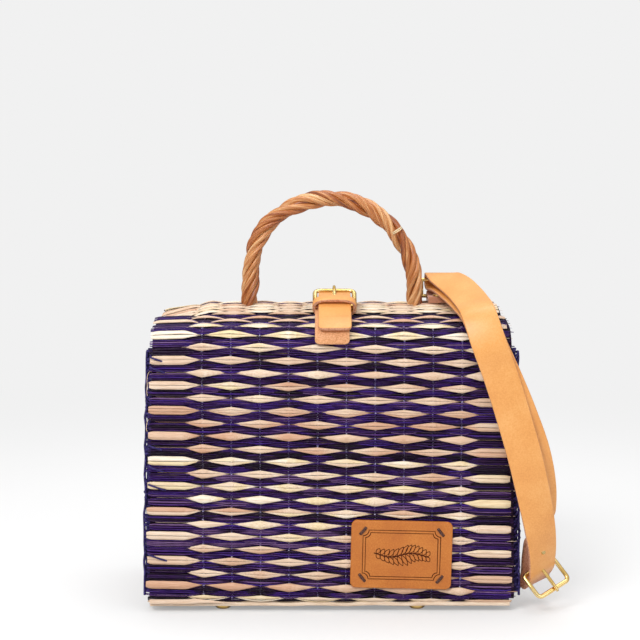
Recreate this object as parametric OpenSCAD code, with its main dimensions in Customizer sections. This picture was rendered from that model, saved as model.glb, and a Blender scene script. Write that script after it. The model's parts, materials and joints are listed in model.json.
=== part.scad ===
// Basket box bag woven from split reed, with a hinged lid, a twisted willow handle and leather straps.
// Millimetres. X runs to the right, the front faces -Y, and Z is up from the floor under the feet.

/* [Basket] */
// Width of the woven mat along its top shoulders
top_w = 275; // [250:1:300]
// How much wider the woven mat is along its underside than along its shoulders
base_spread = 10; // [0:0.5:24]
// Depth of the basket from the front face to the back face
depth = 130; // [118:1:160]
// Height of the top of the rounded shoulders above the floor
shoulder_z = 221; // [200:1:250]
// Radius of the rounded shoulders at front and back
shoulder_r = 18; // [14:1:22]
// Radius of the rounding along the underside
base_r = 8; // [7:1:12]
// Thickness of the woven mat without its relief
mat_t = 5; // [4:0.5:7]
// How far back from the front face the lid starts
rim_y = 40; // [34:1:46]
// Upward slope of the narrow lip in front of the lid, in degrees
lip_tilt = 8; // [5:1:12]

/* [Weave] */
// Distance between neighbouring rows of reed
row_pitch = 3.22; // [3:0.01:4.5]
// Number of upright warps across the front
warp_count = 10; // [8:2:12]
// Distance between neighbouring warps
warp_pitch = 21.8; // [18:0.1:23]
// How far a purple reed bundle swells out over a warp
swell = 0.9; // [0.5:0.1:1.5]
// How far the mat sinks in where a bundle passes under a warp
pinch = 1.1; // [0.6:0.1:1.6]
// How far a natural reed bundle stands out over a warp
natural_swell = 1.7; // [1:0.1:2.2]

/* [Side panels] */
// How far the side panels sit in from the ends of the front reeds
side_inset = 4; // [3:0.5:8]
// Thickness of a side panel without its relief
side_t = 4; // [3:0.5:6]
// Distance between neighbouring rows of reed on a side panel
side_pitch = 4.6; // [4:0.1:6]
// Number of upright warps in a side panel
side_warps = 4; // [4:2:6]
// Distance between neighbouring warps in a side panel
side_warp_pitch = 24; // [16:1:28]
// Radius of the cord bundle that laces each upright corner
seam_r = 3.2; // [2.6:0.1:4]

/* [Lid] */
// Width of the lid
lid_w = 270; // [240:1:300]
// How far the lid rises above the line between its two long edges
dome_h = 7.3; // [4:0.1:12]
// Gap between the lid and the basket along both long edges
lid_gap = 0.5; // [0.4:0.1:1]
// Width of the band of all-natural reed along the front of the lid
band_w = 28; // [18:1:40]

/* [Handle] */
// Distance between the middles of the two handle legs
handle_w = 129.4; // [110:0.2:150]
// Height of the middle of the handle arch above the floor
handle_top = 314.2; // [290:0.2:340]
// Distance of the handle behind the front face
handle_y = 66; // [62:1:72]
// Thickness of each willow cane
cane_d = 6; // [4.4:0.1:6.4]
// Distance of each cane's middle from the middle of the twist
twist_r = 3.75; // [3:0.05:4]
// Number of full turns in the twist
twist_turns = 4.5; // [3:0.5:6]

/* [Leather] */
// Width of the shoulder strap
strap_w = 26; // [20:0.5:28]
// Thickness of the shoulder strap
strap_t = 2.4; // [1.8:0.1:3]
// Width of the two closure straps
closure_w = 25; // [20:0.5:26]
// Thickness of the closure straps
closure_t = 2.2; // [1.6:0.1:2.4]
// Space kept between the closure's lower strap and the mat
closure_gap = 3.2; // [2.6:0.1:4]
// Length of the leather patch
patch_w = 77; // [60:1:90]
// Height of the leather patch
patch_h = 52.5; // [40:0.5:60]
// Thickness of the leather patch
patch_t = 2.5; // [1.8:0.1:3]

/* [Brass] */
// Outside width of the closure buckle
buckle_w = 33.6; // [30:0.2:36]
// Thickness of the closure buckle's wire
buckle_wire = 3; // [2.4:0.1:3.2]
// Outside width of the shoulder strap's buckle
strap_buckle_w = 34; // [32:0.5:38]
// Thickness of the shoulder strap buckle's wire
strap_wire = 2.8; // [2.2:0.1:3]
// Diameter of each foot
foot_d = 13.5; // [10:0.5:16]
// Height of the underside of the mat above the floor
foot_h = 7; // [6:0.5:10]
// Distance between the left and right feet
foot_span = 150; // [120:1:200]

/* [Hidden] */

purple = "#2c1a57";
natural = "#f0dcae";
tan = "#e3a768";
suede = "#b9795a";
patch_tan = "#d18a45";
willow = "#c98a4b";
brass = "#c9a04a";
thread = "#5a3a22";

// Mat path in the YZ plane, from the front rim down the front, under the base and up the back.
face_top = shoulder_z - shoulder_r;
lip_turn = 90 - lip_tilt;
lip_y = shoulder_r - shoulder_r * sin(lip_tilt);
lip_z = face_top + shoulder_r * cos(lip_tilt);
lip_len = (rim_y - lip_y) / cos(lip_tilt);
rim_z = lip_z + lip_len * sin(lip_tilt);
s_lip = lip_len;
s_front = s_lip + shoulder_r * lip_turn * PI / 180;
wall_len = face_top - foot_h - base_r;
s_low = s_front + wall_len;
s_base = s_low + base_r * PI / 2;
s_heel = s_base + depth - 2 * base_r;
s_back = s_heel + base_r * PI / 2;
s_high = s_back + wall_len;
s_end = s_high + shoulder_r * PI / 2;
row_count = round(s_end / row_pitch);
row_step = s_end / row_count;

// A straight or a left-turning arc of the path, pushed outwards by n.
function out_way(h) = [sin(h), -cos(h)];
function along(p, h, s, n) = p + s * [cos(h), sin(h)] + n * out_way(h);
function around(c, r, h, s, n) = c + (r + n) * out_way(h + s / r * 180 / PI);
function basket_at(s, n) =
    s <= s_lip ? along([rim_y, rim_z], 180 + lip_tilt, s, n)
    : s <= s_front ? around([shoulder_r, face_top], shoulder_r, 180 + lip_tilt, s - s_lip, n)
    : s <= s_low ? along([0, face_top], 270, s - s_front, n)
    : s <= s_base ? around([base_r, foot_h + base_r], base_r, 270, s - s_low, n)
    : s <= s_heel ? along([base_r, foot_h], 0, s - s_base, n)
    : s <= s_back ? around([depth - base_r, foot_h + base_r], base_r, 0, s - s_heel, n)
    : s <= s_high ? along([depth, foot_h + base_r], 90, s - s_back, n)
    : around([depth - shoulder_r, face_top], shoulder_r, 90, s - s_high, n);

// Half width of the mat, which grows evenly towards the base.
base_w = top_w + base_spread;
flare = (base_w - top_w) / 2 / (shoulder_z - foot_h);
function half_w(z) = base_w / 2 - (z - foot_h) * flare;

// Lid path from its rear edge to its front edge, a single arc.
lid_rear = [depth - shoulder_r - lid_gap, shoulder_z];
lid_front = [rim_y + lid_gap, rim_z + lid_gap * tan(lip_tilt)];
lid_chord = norm(lid_rear - lid_front);
lid_r = (pow(lid_chord / 2, 2) + pow(dome_h, 2)) / (2 * dome_h);
lid_half_turn = asin(lid_chord / 2 / lid_r);
lid_lean = atan2(lid_front[1] - lid_rear[1], lid_rear[0] - lid_front[0]);
lid_start = 180 - lid_half_turn - lid_lean;
lid_c = lid_rear - lid_r * out_way(lid_start);
lid_len = lid_r * 2 * lid_half_turn * PI / 180;
lid_rows = round(lid_len / row_step);
lid_step = lid_len / lid_rows;
band_rows = round(band_w / lid_step);
function lid_at(s, n) = around(lid_c, lid_r, lid_start, s, n);
function lid_top(y) = lid_c[1] + sqrt(pow(lid_r, 2) - pow(y - lid_c[0], 2));

// Columns of the weave: the mat's end, half a pitch past the last warp, the warps, and the same again.
columns = warp_count + 4;
last_warp = (warp_count - 1) / 2 * warp_pitch;
function column_x(c, end_x) =
    c == 0 ? -end_x
    : c == 1 ? -last_warp - warp_pitch / 2
    : c == columns - 2 ? last_warp + warp_pitch / 2
    : c == columns - 1 ? end_x
    : (c - 2) * warp_pitch - last_warp;
function inner_column(c) = min(max(c, 1), columns - 2);
function is_over(c, r) = (inner_column(c) + r) % 2 == 1;

// Which rows are natural reed, on the basket and on the lid.
function is_natural(lid, r) =
    lid ? (r > 0 && r < lid_rows && (r >= lid_rows - band_rows || r % 3 == 0))
    : (r > 0 && r < row_count && r % 3 == 0);
function mat_at(lid, s, n) = lid ? lid_at(s, n) : basket_at(s, n);
function end_at(lid, z) = lid ? lid_w / 2 : half_w(z);
function weave_n(lid, c, r) =
    is_over(c, r) && !is_natural(lid, r) ? swell : -pinch;
function weave_point(lid, c, r, step, n) =
    let (p = mat_at(lid, r * step, n))
    [column_x(c, end_at(lid, p[1])), p[0], p[1]];

// Points of the plain inner side, at the ends of the straights and along the arcs.
function stops(from, to, parts) = [for (i = [0:parts]) from + (to - from) * i / parts];
basket_stops = concat([0], stops(s_lip, s_front, 4), stops(s_low, s_base, 3),
    stops(s_heel, s_back, 3), stops(s_high, s_end, 5));
lid_stops = stops(0, lid_len, 6);

// One woven mat as a closed skin: outer lattice, plain inner side, two long edges and two ends.
module woven_mat(lid, rows, step, inner) {
    last = columns - 1;
    base = (rows + 1) * columns;
    outer = [for (r = [0:rows]) for (c = [0:last])
        weave_point(lid, c, r, step, weave_n(lid, c, r))];
    inside = [for (s = inner) let (p = mat_at(lid, s, -mat_t))
        for (side = [-1, 1]) [side * end_at(lid, p[1]), p[0], p[1]]];
    cells = [for (r = [0:rows - 1]) for (c = [0:last - 1])
        let (a = r * columns + c, b = a + 1, d = a + columns, e = d + 1)
        each is_over(c, r) ? [[a, b, d], [b, e, d]] : [[a, b, e], [a, e, d]]];
    walls = [for (i = [0:len(inner) - 2]) let (a = base + 2 * i)
        [a, a + 2, a + 3, a + 1]];
    ends = [
        concat([for (r = [0:rows]) r * columns],
            [for (i = [len(inner) - 1:-1:0]) base + 2 * i]),
        concat([for (r = [rows:-1:0]) r * columns + last],
            [for (i = [0:len(inner) - 1]) base + 2 * i + 1])];
    edges = [
        concat([for (c = [last:-1:0]) c], [base, base + 1]),
        concat([for (c = [0:last]) rows * columns + c],
            [base + 2 * len(inner) - 1, base + 2 * len(inner) - 2])];
    polyhedron(concat(outer, inside), concat(cells, walls, ends, edges), convexity = 8);
}

// Natural bundles are low pyramids seated on the mat, drawn in a little so that each stays separate.
tip_share = 0.9;
side_share = 0.94;
function lerp(a, b, t) = a + (b - a) * t;
function bundle_points(lid, c, r, step) =
    let (m = weave_point(lid, c, r, step, -pinch))
    [lerp(m, weave_point(lid, c - 1, r, step, -pinch), tip_share),
     lerp(m, weave_point(lid, c, r - 1, step, -pinch), side_share),
     lerp(m, weave_point(lid, c + 1, r, step, -pinch), tip_share),
     lerp(m, weave_point(lid, c, r + 1, step, -pinch), side_share),
     weave_point(lid, c, r, step, natural_swell)];
bundle_faces = [[0, 1, 2], [0, 2, 3], [0, 4, 1], [1, 4, 2], [2, 4, 3], [3, 4, 0]];

// At the mat's ends a bundle runs straight to its cut end, which shows full width.
function end_points(lid, left, r, step) =
    let (near = left ? 1 : columns - 2, far = left ? 0 : columns - 1)
    let (tip = left ? 2 : columns - 3)
    let (m = weave_point(lid, near, r, step, -pinch), e = weave_point(lid, far, r, step, -pinch))
    [lerp(m, weave_point(lid, tip, r, step, -pinch), tip_share),
     lerp(m, weave_point(lid, near, r - 1, step, -pinch), side_share),
     lerp(e, weave_point(lid, far, r - 1, step, -pinch), side_share),
     e,
     lerp(e, weave_point(lid, far, r + 1, step, -pinch), side_share),
     lerp(m, weave_point(lid, near, r + 1, step, -pinch), side_share),
     weave_point(lid, near, r, step, natural_swell),
     weave_point(lid, far, r, step, natural_swell)];
left_end_faces = [[0, 3, 2, 1], [0, 5, 4, 3], [0, 1, 6], [1, 2, 7, 6], [6, 7, 4, 5], [0, 6, 5],
    [2, 3, 4, 7]];
right_end_faces = [for (f = left_end_faces) [for (i = [len(f) - 1:-1:0]) f[i]]];

function shifted(faces, by) = [for (f = faces) [for (i = f) i + by]];
module natural_bundles(lid, from_row, to_row, step) {
    spots = [for (r = [from_row:to_row]) if (is_natural(lid, r))
        for (c = [1:columns - 2]) if (is_over(c, r)) [c, r]];
    inner = [for (s = spots) if (s[0] > 1 && s[0] < columns - 2) s];
    left = [for (s = spots) if (s[0] == 1) s];
    right = [for (s = spots) if (s[0] == columns - 2) s];
    points = concat(
        [for (s = inner) each bundle_points(lid, s[0], s[1], step)],
        [for (s = left) each end_points(lid, true, s[1], step)],
        [for (s = right) each end_points(lid, false, s[1], step)]);
    ends_from = 5 * len(inner);
    right_from = ends_from + 8 * len(left);
    faces = concat(
        [for (i = [0:1:len(inner) - 1]) each shifted(bundle_faces, 5 * i)],
        [for (i = [0:1:len(left) - 1]) each shifted(left_end_faces, ends_from + 8 * i)],
        [for (i = [0:1:len(right) - 1]) each shifted(right_end_faces, right_from + 8 * i)]);
    polyhedron(points, faces, convexity = 10);
}

front_last = floor((s_low + s_base) / 2 / row_step);
base_last = floor((s_heel + s_back) / 2 / row_step);
module basket_mat() placed() color(purple) woven_mat(false, row_count, row_step, basket_stops);
module basket_bundles(from_row, to_row) {
    placed() color(natural) natural_bundles(false, from_row, to_row, row_step);
}
module front_natural_reeds() basket_bundles(1, front_last);
module base_natural_reeds() basket_bundles(front_last + 1, base_last);
module back_natural_reeds() basket_bundles(base_last + 1, row_count - 1);
module lid_mat() placed() color(purple) woven_mat(true, lid_rows, lid_step, lid_stops);
module lid_natural_reeds() placed() color(natural) natural_bundles(true, 1, lid_rows - 1, lid_step);

// Side panels fit inside the mat with a small clearance all round and follow its flare.
side_clear = 0.3;
side_low = foot_h + mat_t + side_clear;
side_top_r = shoulder_r - mat_t - side_clear;
side_low_r = base_r - mat_t - side_clear;
side_high = face_top + side_top_r - 0.6;
side_rows = round((side_high - side_low) / side_pitch);
side_step = (side_high - side_low) / side_rows;
function half_chord(r, h) = sqrt(max(0, r * r - h * h));
function side_edge(z) =
    z > face_top ? shoulder_r - half_chord(side_top_r, z - face_top)
    : z < foot_h + base_r ? base_r - half_chord(side_low_r, foot_h + base_r - z)
    : mat_t + side_clear;
side_last = side_warps + 1;
function side_y(c, z) =
    c == 0 ? side_edge(z)
    : c == side_last ? depth - side_edge(z)
    : depth / 2 + (c - (side_warps + 1) / 2) * side_warp_pitch;
function side_over(c, r) = c > 0 && c < side_last && (c + r) % 2 == 1;
function side_natural(r) = r > 0 && r < side_rows && r % 3 == 1;
function side_point(c, r, n) =
    let (z = side_low + r * side_step)
    [half_w(z) - side_inset + n, side_y(c, z), z];

module side_panel() {
    count = side_last + 1;
    base = (side_rows + 1) * count;
    outer = [for (r = [0:side_rows]) for (c = [0:side_last])
        side_point(c, r, side_over(c, r) && !side_natural(r) ? swell : -pinch)];
    inside = [for (r = [0:side_rows]) for (c = [0, side_last]) side_point(c, r, -side_t)];
    cells = [for (r = [0:side_rows - 1]) for (c = [0:side_last - 1])
        let (a = r * count + c, b = a + 1, d = a + count, e = d + 1)
        each (c + r) % 2 == 1 ? [[a, d, b], [b, d, e]] : [[a, e, b], [a, d, e]]];
    back = [concat([for (r = [0:side_rows]) base + 2 * r + 1],
        [for (r = [side_rows:-1:0]) base + 2 * r])];
    edges = [for (r = [0:side_rows - 1]) each [
        [r * count, base + 2 * r, base + 2 * r + 2, (r + 1) * count],
        [r * count + side_last, (r + 1) * count + side_last, base + 2 * r + 3, base + 2 * r + 1]]];
    caps = [
        concat([for (c = [0:side_last]) c], [base + 1, base]),
        concat([for (c = [side_last:-1:0]) side_rows * count + c],
            [base + 2 * side_rows, base + 2 * side_rows + 1])];
    polyhedron(concat(outer, inside), concat(cells, back, edges, caps), convexity = 6);
}

module side_bundles() {
    spots = [for (r = [1:side_rows - 1]) if (side_natural(r))
        for (c = [1:side_last - 1]) if (side_over(c, r)) [c, r]];
    points = [for (s = spots) let (c = s[0], r = s[1], m = side_point(c, r, -pinch)) each [
        lerp(m, side_point(c - 1, r, -pinch), tip_share),
        lerp(m, side_point(c, r - 1, -pinch), side_share),
        lerp(m, side_point(c + 1, r, -pinch), tip_share),
        lerp(m, side_point(c, r + 1, -pinch), side_share),
        side_point(c, r, natural_swell)]];
    faces = [for (i = [0:len(spots) - 1]) each shifted(bundle_faces, 5 * i)];
    polyhedron(points, faces, convexity = 6);
}

module right_side_panel() placed() color(purple) side_panel();
module left_side_panel() placed() color(purple) mirror([1, 0, 0]) side_panel();
module right_side_reeds() placed() color(natural) side_bundles();
module left_side_reeds() placed() color(natural) mirror([1, 0, 0]) side_bundles();

// Cord bundles lace the side panels to the ends of the mat, with a thicker wrap at even steps.
seam_clear = 0.3;
tip_rise = 0.35;
seam_low = foot_h + base_r;
seam_len = face_top - seam_low;
wrap_pitch = 9.7;
wrap_len = 3;
wrap_rise = 0.45;
seam_wraps = floor(seam_len / wrap_pitch);
seam_lean = atan(flare);
module seam_cord(side, rear) {
    r_out = seam_r + wrap_rise;
    inset = side_inset + pinch - tip_rise - r_out - seam_clear;
    y = mat_t + seam_clear + r_out;
    placed()
        translate([side * (half_w(seam_low) - inset), rear ? depth - y : y, seam_low])
            rotate([0, -side * seam_lean, 0])
                color(purple) {
                    cylinder(r = seam_r, h = seam_len, $fn = 32);
                    for (i = [0:seam_wraps - 1])
                        translate([0, 0, wrap_pitch * (i + 0.5)])
                            cylinder(r = r_out, h = wrap_len, $fn = 32);
                }
}
module seam_front_left() seam_cord(-1, false);
module seam_front_right() seam_cord(1, false);
module seam_rear_left() seam_cord(-1, true);
module seam_rear_right() seam_cord(1, true);

// Feet are brass studs whose shanks are pressed through the mat, with a washer inside.
foot_in = 14;
foot_shift = -9;
foot_head = foot_h - swell - 1;
shank_r = 1.6;
washer_r = 6;
washer_t = 1;
module foot(side, rear) {
    placed() translate([side * foot_span / 2 + foot_shift, rear ? depth - foot_in : foot_in, 0])
        color(brass) {
            cylinder(r1 = foot_d / 2 - 1.5, r2 = foot_d / 2, h = 1.5, $fn = 48);
            translate([0, 0, 1.5]) cylinder(d = foot_d, h = foot_head - 1.5, $fn = 48);
            cylinder(r = shank_r, h = foot_h + mat_t + washer_t, $fn = 24);
        }
}
module foot_front_left() foot(-1, false);
module foot_front_right() foot(1, false);
module foot_rear_left() foot(-1, true);
module foot_rear_right() foot(1, true);
module foot_washers() {
    placed() color(brass)
        for (side = [-1, 1])
            for (y = [foot_in, depth - foot_in])
                translate([side * foot_span / 2 + foot_shift, y, foot_h + mat_t])
                    difference() {
                        cylinder(r = washer_r, h = washer_t, $fn = 40);
                        translate([0, 0, -1]) cylinder(r = shank_r, h = washer_t + 2, $fn = 24);
                    }
}

// Leather patch near the lower right corner, sewn on at its four corners.
patch_x = 52.9;
patch_z = 46;
patch_lean = -1.3;
patch_r = 4.5;
patch_y = -natural_swell - 0.1;
stitch_r = 0.6;
stitch_len = 6;
module on_patch() translate([patch_x, patch_y, patch_z]) rotate([0, -patch_lean, 0]) children();
module leather_patch() {
    placed() color(patch_tan)
        on_patch()
            rotate([90, 0, 0])
                linear_extrude(patch_t) {
                    square([patch_w - 2 * patch_r, patch_h], center = true);
                    square([patch_w, patch_h - 2 * patch_r], center = true);
                    for (sx = [-1, 1]) for (sy = [-1, 1])
                        translate([sx * (patch_w / 2 - patch_r), sy * (patch_h / 2 - patch_r)])
                            circle(r = patch_r, $fn = 32);
                }
}
module patch_stitches() {
    placed() color(thread)
        on_patch()
            for (sx = [-1, 1]) for (sz = [-1, 1])
                translate([sx * (patch_w / 2 - 9), -patch_t - stitch_r, sz * (patch_h / 2 - 8)])
                    rotate([0, sx * sz < 0 ? -45 : 45, 0])
                        cylinder(r = stitch_r, h = stitch_len, center = true, $fn = 16);
}

// Twisted handle: three canes wound round an arch with straight legs, like rope.
arch_r = handle_w / 2;
arch_z = handle_top - arch_r;
leg_low = lid_top(handle_y) - mat_t - 8;
leg_len = arch_z - leg_low;
handle_len = 2 * leg_len + PI * arch_r;
function arch_at(s) =
    let (a = 180 - (s - leg_len) / arch_r * 180 / PI)
    s < leg_len ? [[-arch_r, leg_low + s], 90]
    : s < leg_len + PI * arch_r ? [[arch_r * cos(a), arch_z + arch_r * sin(a)], a - 90]
    : [[arch_r, arch_z - (s - leg_len - PI * arch_r)], -90];
cane_rings = 36;
cane_sides = 5;
function cane_ring(s, phase) =
    let (p = arch_at(s), h = p[1], turn = 360 * twist_turns * s / handle_len + phase)
    let (side = [-sin(h), 0, cos(h)], mid = [p[0][0], handle_y, p[0][1]])
    let (out = cos(turn) * side + sin(turn) * [0, 1, 0])
    let (swing = -sin(turn) * side + cos(turn) * [0, 1, 0])
    let (climb = 360 * twist_turns / handle_len * PI / 180 * twist_r)
    let (ahead = [cos(h), 0, sin(h)] + climb * swing)
    let (across = cross(ahead, out) / norm(ahead))
    [for (i = [0:cane_sides - 1]) let (a = 360 * i / cane_sides + 36)
        mid + twist_r * out + cane_d / 2 * (cos(a) * out + sin(a) * across)];
module cane(phase) {
    points = [for (i = [0:cane_rings]) each cane_ring(handle_len * i / cane_rings, phase)];
    sides = [for (i = [0:cane_rings - 1]) for (j = [0:cane_sides - 1])
        let (a = i * cane_sides + j, b = i * cane_sides + (j + 1) % cane_sides)
        each [[a, b, b + cane_sides], [a, b + cane_sides, a + cane_sides]]];
    ends = [[for (j = [cane_sides - 1:-1:0]) j],
        [for (j = [0:cane_sides - 1]) cane_rings * cane_sides + j]];
    placed() color(willow) polyhedron(points, concat(sides, ends), convexity = 6);
}
module handle_cane_1() cane(0);
module handle_cane_2() cane(120);
module handle_cane_3() cane(240);

// Pegs through the cane ends keep the handle from pulling out of the lid.
peg_r = 2;
peg_len = 26;
module handle_pegs() {
    placed() color(willow)
        for (side = [-1, 1])
            translate([side * arch_r, handle_y, leg_low + 4])
                rotate([90, 0, 0])
                    cylinder(r = peg_r, h = peg_len, center = true, $fn = 24);
}

// A strap seen edge on: a polygon of even thickness along a line of points in the YZ plane.
function edge_way(pts, i) =
    let (a = pts[max(i - 1, 0)], b = pts[min(i + 1, len(pts) - 1)], d = (b - a) / norm(b - a))
    [-d[1], d[0]];
function ribbon(pts, t) = concat(
    [for (i = [0:len(pts) - 1]) pts[i] + t / 2 * edge_way(pts, i)],
    [for (i = [len(pts) - 1:-1:0]) pts[i] - t / 2 * edge_way(pts, i)]);
module strap_band(pts, t, w) {
    rotate([90, 0, 90])
        translate([0, 0, -w / 2])
            linear_extrude(w) polygon(ribbon(pts, t));
}

// Closure: the lower strap holds the buckle, the upper one comes from the lid and ends over it.
wire_r = buckle_wire / 2;
heel = [38, rim_z + 7.7];
frame_len = 20.8;
frame_tilt = 30;
outer_bar = heel + frame_len * [cos(frame_tilt), sin(frame_tilt)];
loop_r = wire_r + 0.2 + closure_t / 2;
shoulder_c = [shoulder_r, face_top];
function shoulder_at(r, a) = shoulder_c + r * [-cos(a), sin(a)];
chape_r = shoulder_r + closure_gap + closure_t / 2;
chape_end = 12;
billet_r = chape_r + closure_t + 0.3;
billet_end = 33;
chape_line = concat(
    [[heel[0] - 8, heel[1] - loop_r + closure_t + 0.35]],
    [for (a = [105:-30:-90]) heel + loop_r * [cos(a), sin(a)]],
    [heel + [-9, -loop_r - 0.2]],
    [for (a = [86:-12.4:chape_end]) shoulder_at(chape_r, a)]);
slot_w = 4.8;
slot_len = 16;
slot_front = 4.2;
eye_front = 5.2;
billet_rear = 90;
billet_front = 67;
seat_gap = 0.4;
billet_rise = natural_swell + seat_gap + closure_t / 2;
billet_line = concat(
    [for (y = stops(billet_rear, billet_front, 3)) [y, lid_top(y) + billet_rise]],
    [outer_bar - [0, wire_r + 0.9 + closure_t], (outer_bar + heel) / 2 + [0.4, 1.2],
     heel + [0, loop_r + closure_t + 0.35], heel + [-8, 2.35], heel + [-13.5, -0.7]],
    [for (a = [80:-12:billet_end]) shoulder_at(billet_r, a)]);
rivet_y = 84;
rivet_r = 1.5;
module closure_billet() {
    placed() color(tan)
        difference() {
            strap_band(billet_line, closure_t, closure_w);
            translate([-slot_w / 2, heel[0] - slot_front, heel[1] - 2])
                cube([slot_w, slot_len, slot_len]);
            translate([0, rivet_y, lid_top(rivet_y)]) cylinder(r = rivet_r, h = 12, $fn = 24);
        }
}
module closure_chape() {
    placed() color(tan)
        difference() {
            strap_band(chape_line, closure_t, closure_w);
            translate([-slot_w / 2, heel[0] - eye_front, heel[1] - 4.6])
                cube([slot_w, slot_len - 4, slot_len]);
        }
}

// Keeper: a leather loop round both straps, just in front of the buckle.
keeper_y = 29;
keeper_len = 6;
keeper_low = rim_z - (rim_y - keeper_y - keeper_len) * tan(lip_tilt) + natural_swell + 0.45;
keeper_t = 1.6;
keeper_high = heel[1] + 7.5;
module closure_keeper() {
    w = closure_w + 1;
    placed() color(suede)
        translate([0, keeper_y, 0])
            difference() {
                translate([-w / 2 - keeper_t, 0, keeper_low])
                    cube([w + 2 * keeper_t, keeper_len, keeper_high - keeper_low]);
                translate([-w / 2, -1, keeper_low + keeper_t])
                    cube([w, keeper_len + 2, keeper_high - keeper_low - 2 * keeper_t]);
            }
}
module bar(length, r) rotate([0, 90, 0]) cylinder(r = r, h = length, center = true, $fn = 32);

// A buckle frame in its own plane: heel bar on the X axis, outer bar at y = length.
module wire_frame(width, length, r) {
    half = width / 2 - r;
    for (y = [0, length]) translate([0, y, 0]) bar(2 * half, r);
    for (x = [-half, half]) {
        translate([x, 0, 0]) rotate([-90, 0, 0]) cylinder(r = r, h = length, $fn = 32);
        for (y = [0, length]) translate([x, y, 0]) sphere(r = r, $fn = 32);
    }
}
module at_heel() translate([0, heel[0], heel[1]]) rotate([frame_tilt, 0, 0]) children();
module closure_buckle_frame() placed() color(brass) at_heel() wire_frame(buckle_w, frame_len, wire_r);

// A prong turns on the heel bar and its tip lies over the outer bar.
eye_gap = 0.1;
eye_wall = 1.4;
eye_w = 3.6;
module prong(wire, length, shank) {
    lift = wire + shank + 0.12;
    difference() {
        union() {
            bar(eye_w, wire + eye_gap + eye_wall);
            translate([0, 0, lift])
                rotate([-90, 0, 0])
                    cylinder(r = shank, h = length + 3, $fn = 24);
            translate([0, 0, lift]) sphere(r = shank, $fn = 24);
        }
        bar(eye_w + 2, wire + eye_gap);
    }
}
prong_r = 1.2;
module closure_prong() placed() color(brass) at_heel() prong(wire_r, frame_len, prong_r);

module closure_rivet() {
    top = lid_top(rivet_y) + billet_rise + closure_t / 2 + 0.5;
    low = lid_top(rivet_y) - mat_t - 1.2;
    placed() color(brass)
        translate([0, rivet_y, 0]) {
            translate([0, 0, low]) cylinder(r = rivet_r, h = top - low, $fn = 24);
            translate([0, 0, top]) cylinder(r = 4, h = 1.4, $fn = 40);
            translate([0, 0, low - 1]) cylinder(r = 4, h = 1, $fn = 40);
        }
}

// Hidden snap that holds the lower strap to the front of the basket.
snap_a = 26;
snap_split = shoulder_r + natural_swell + 0.1;
module on_shoulder(r) {
    translate([0, shoulder_r, face_top])
        rotate([90 - snap_a, 0, 0])
            translate([0, 0, r]) children();
}
module snap_socket() placed() color(brass) on_shoulder(snap_split - 2.2) cylinder(r = 5, h = 2.2, $fn = 40);
module snap_stud() {
    top = shoulder_r + closure_gap - 0.25;
    placed() color(brass)
        on_shoulder(snap_split + 0.35)
            cylinder(r = 4, h = top - snap_split - 0.35, $fn = 40);
}

// Anchor on the right of the lid: a leather tab folded round the ring that the strap passes through.
anchor_x = handle_w / 2 + 23.3;
anchor_y = depth - 46;
anchor_w = 15;
ring_wire = 1.5;
tab_rise = natural_swell + seat_gap + strap_t / 2;
ring_heel = [anchor_y, lid_top(anchor_y) + tab_rise + strap_t / 2 + ring_wire + 0.2];
ring_len = 13;
ring_w = strap_w + 8;
tab_loop = ring_wire + 0.2 + strap_t / 2;
tab_line = concat(
    [for (back = [21, 12]) [anchor_y - back, lid_top(anchor_y - back) + tab_rise]],
    [for (a = [-90:30:90]) ring_heel + tab_loop * [cos(a), sin(a)]],
    [for (back = [8, 14, 21]) [anchor_y - back, lid_top(anchor_y - back) + tab_rise + strap_t + 0.2]]);
stud_y = anchor_y - 17;
module anchor_tab() {
    placed() color(suede)
        translate([anchor_x - 4, 0, 0])
            difference() {
                strap_band(tab_line, strap_t, anchor_w);
                translate([0, stud_y, lid_top(stud_y) - 1]) cylinder(r = rivet_r, h = 16, $fn = 24);
            }
}
module anchor_stud() {
    low = lid_top(stud_y) - mat_t - 1.2;
    top = lid_top(stud_y) + tab_rise + 1.5 * strap_t + 0.3;
    placed() color(brass)
        translate([anchor_x - 4, stud_y, 0]) {
            translate([0, 0, low]) cylinder(r = rivet_r, h = top - low, $fn = 24);
            translate([0, 0, top]) cylinder(r = 3.6, h = 1.4, $fn = 40);
            translate([0, 0, low - 1]) cylinder(r = 3.6, h = 1, $fn = 40);
        }
}
module strap_ring() {
    placed() color(brass)
        translate([anchor_x, ring_heel[0], ring_heel[1]])
            rotate([90, 0, 0])
                wire_frame(ring_w, ring_len, ring_wire);
}

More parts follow.
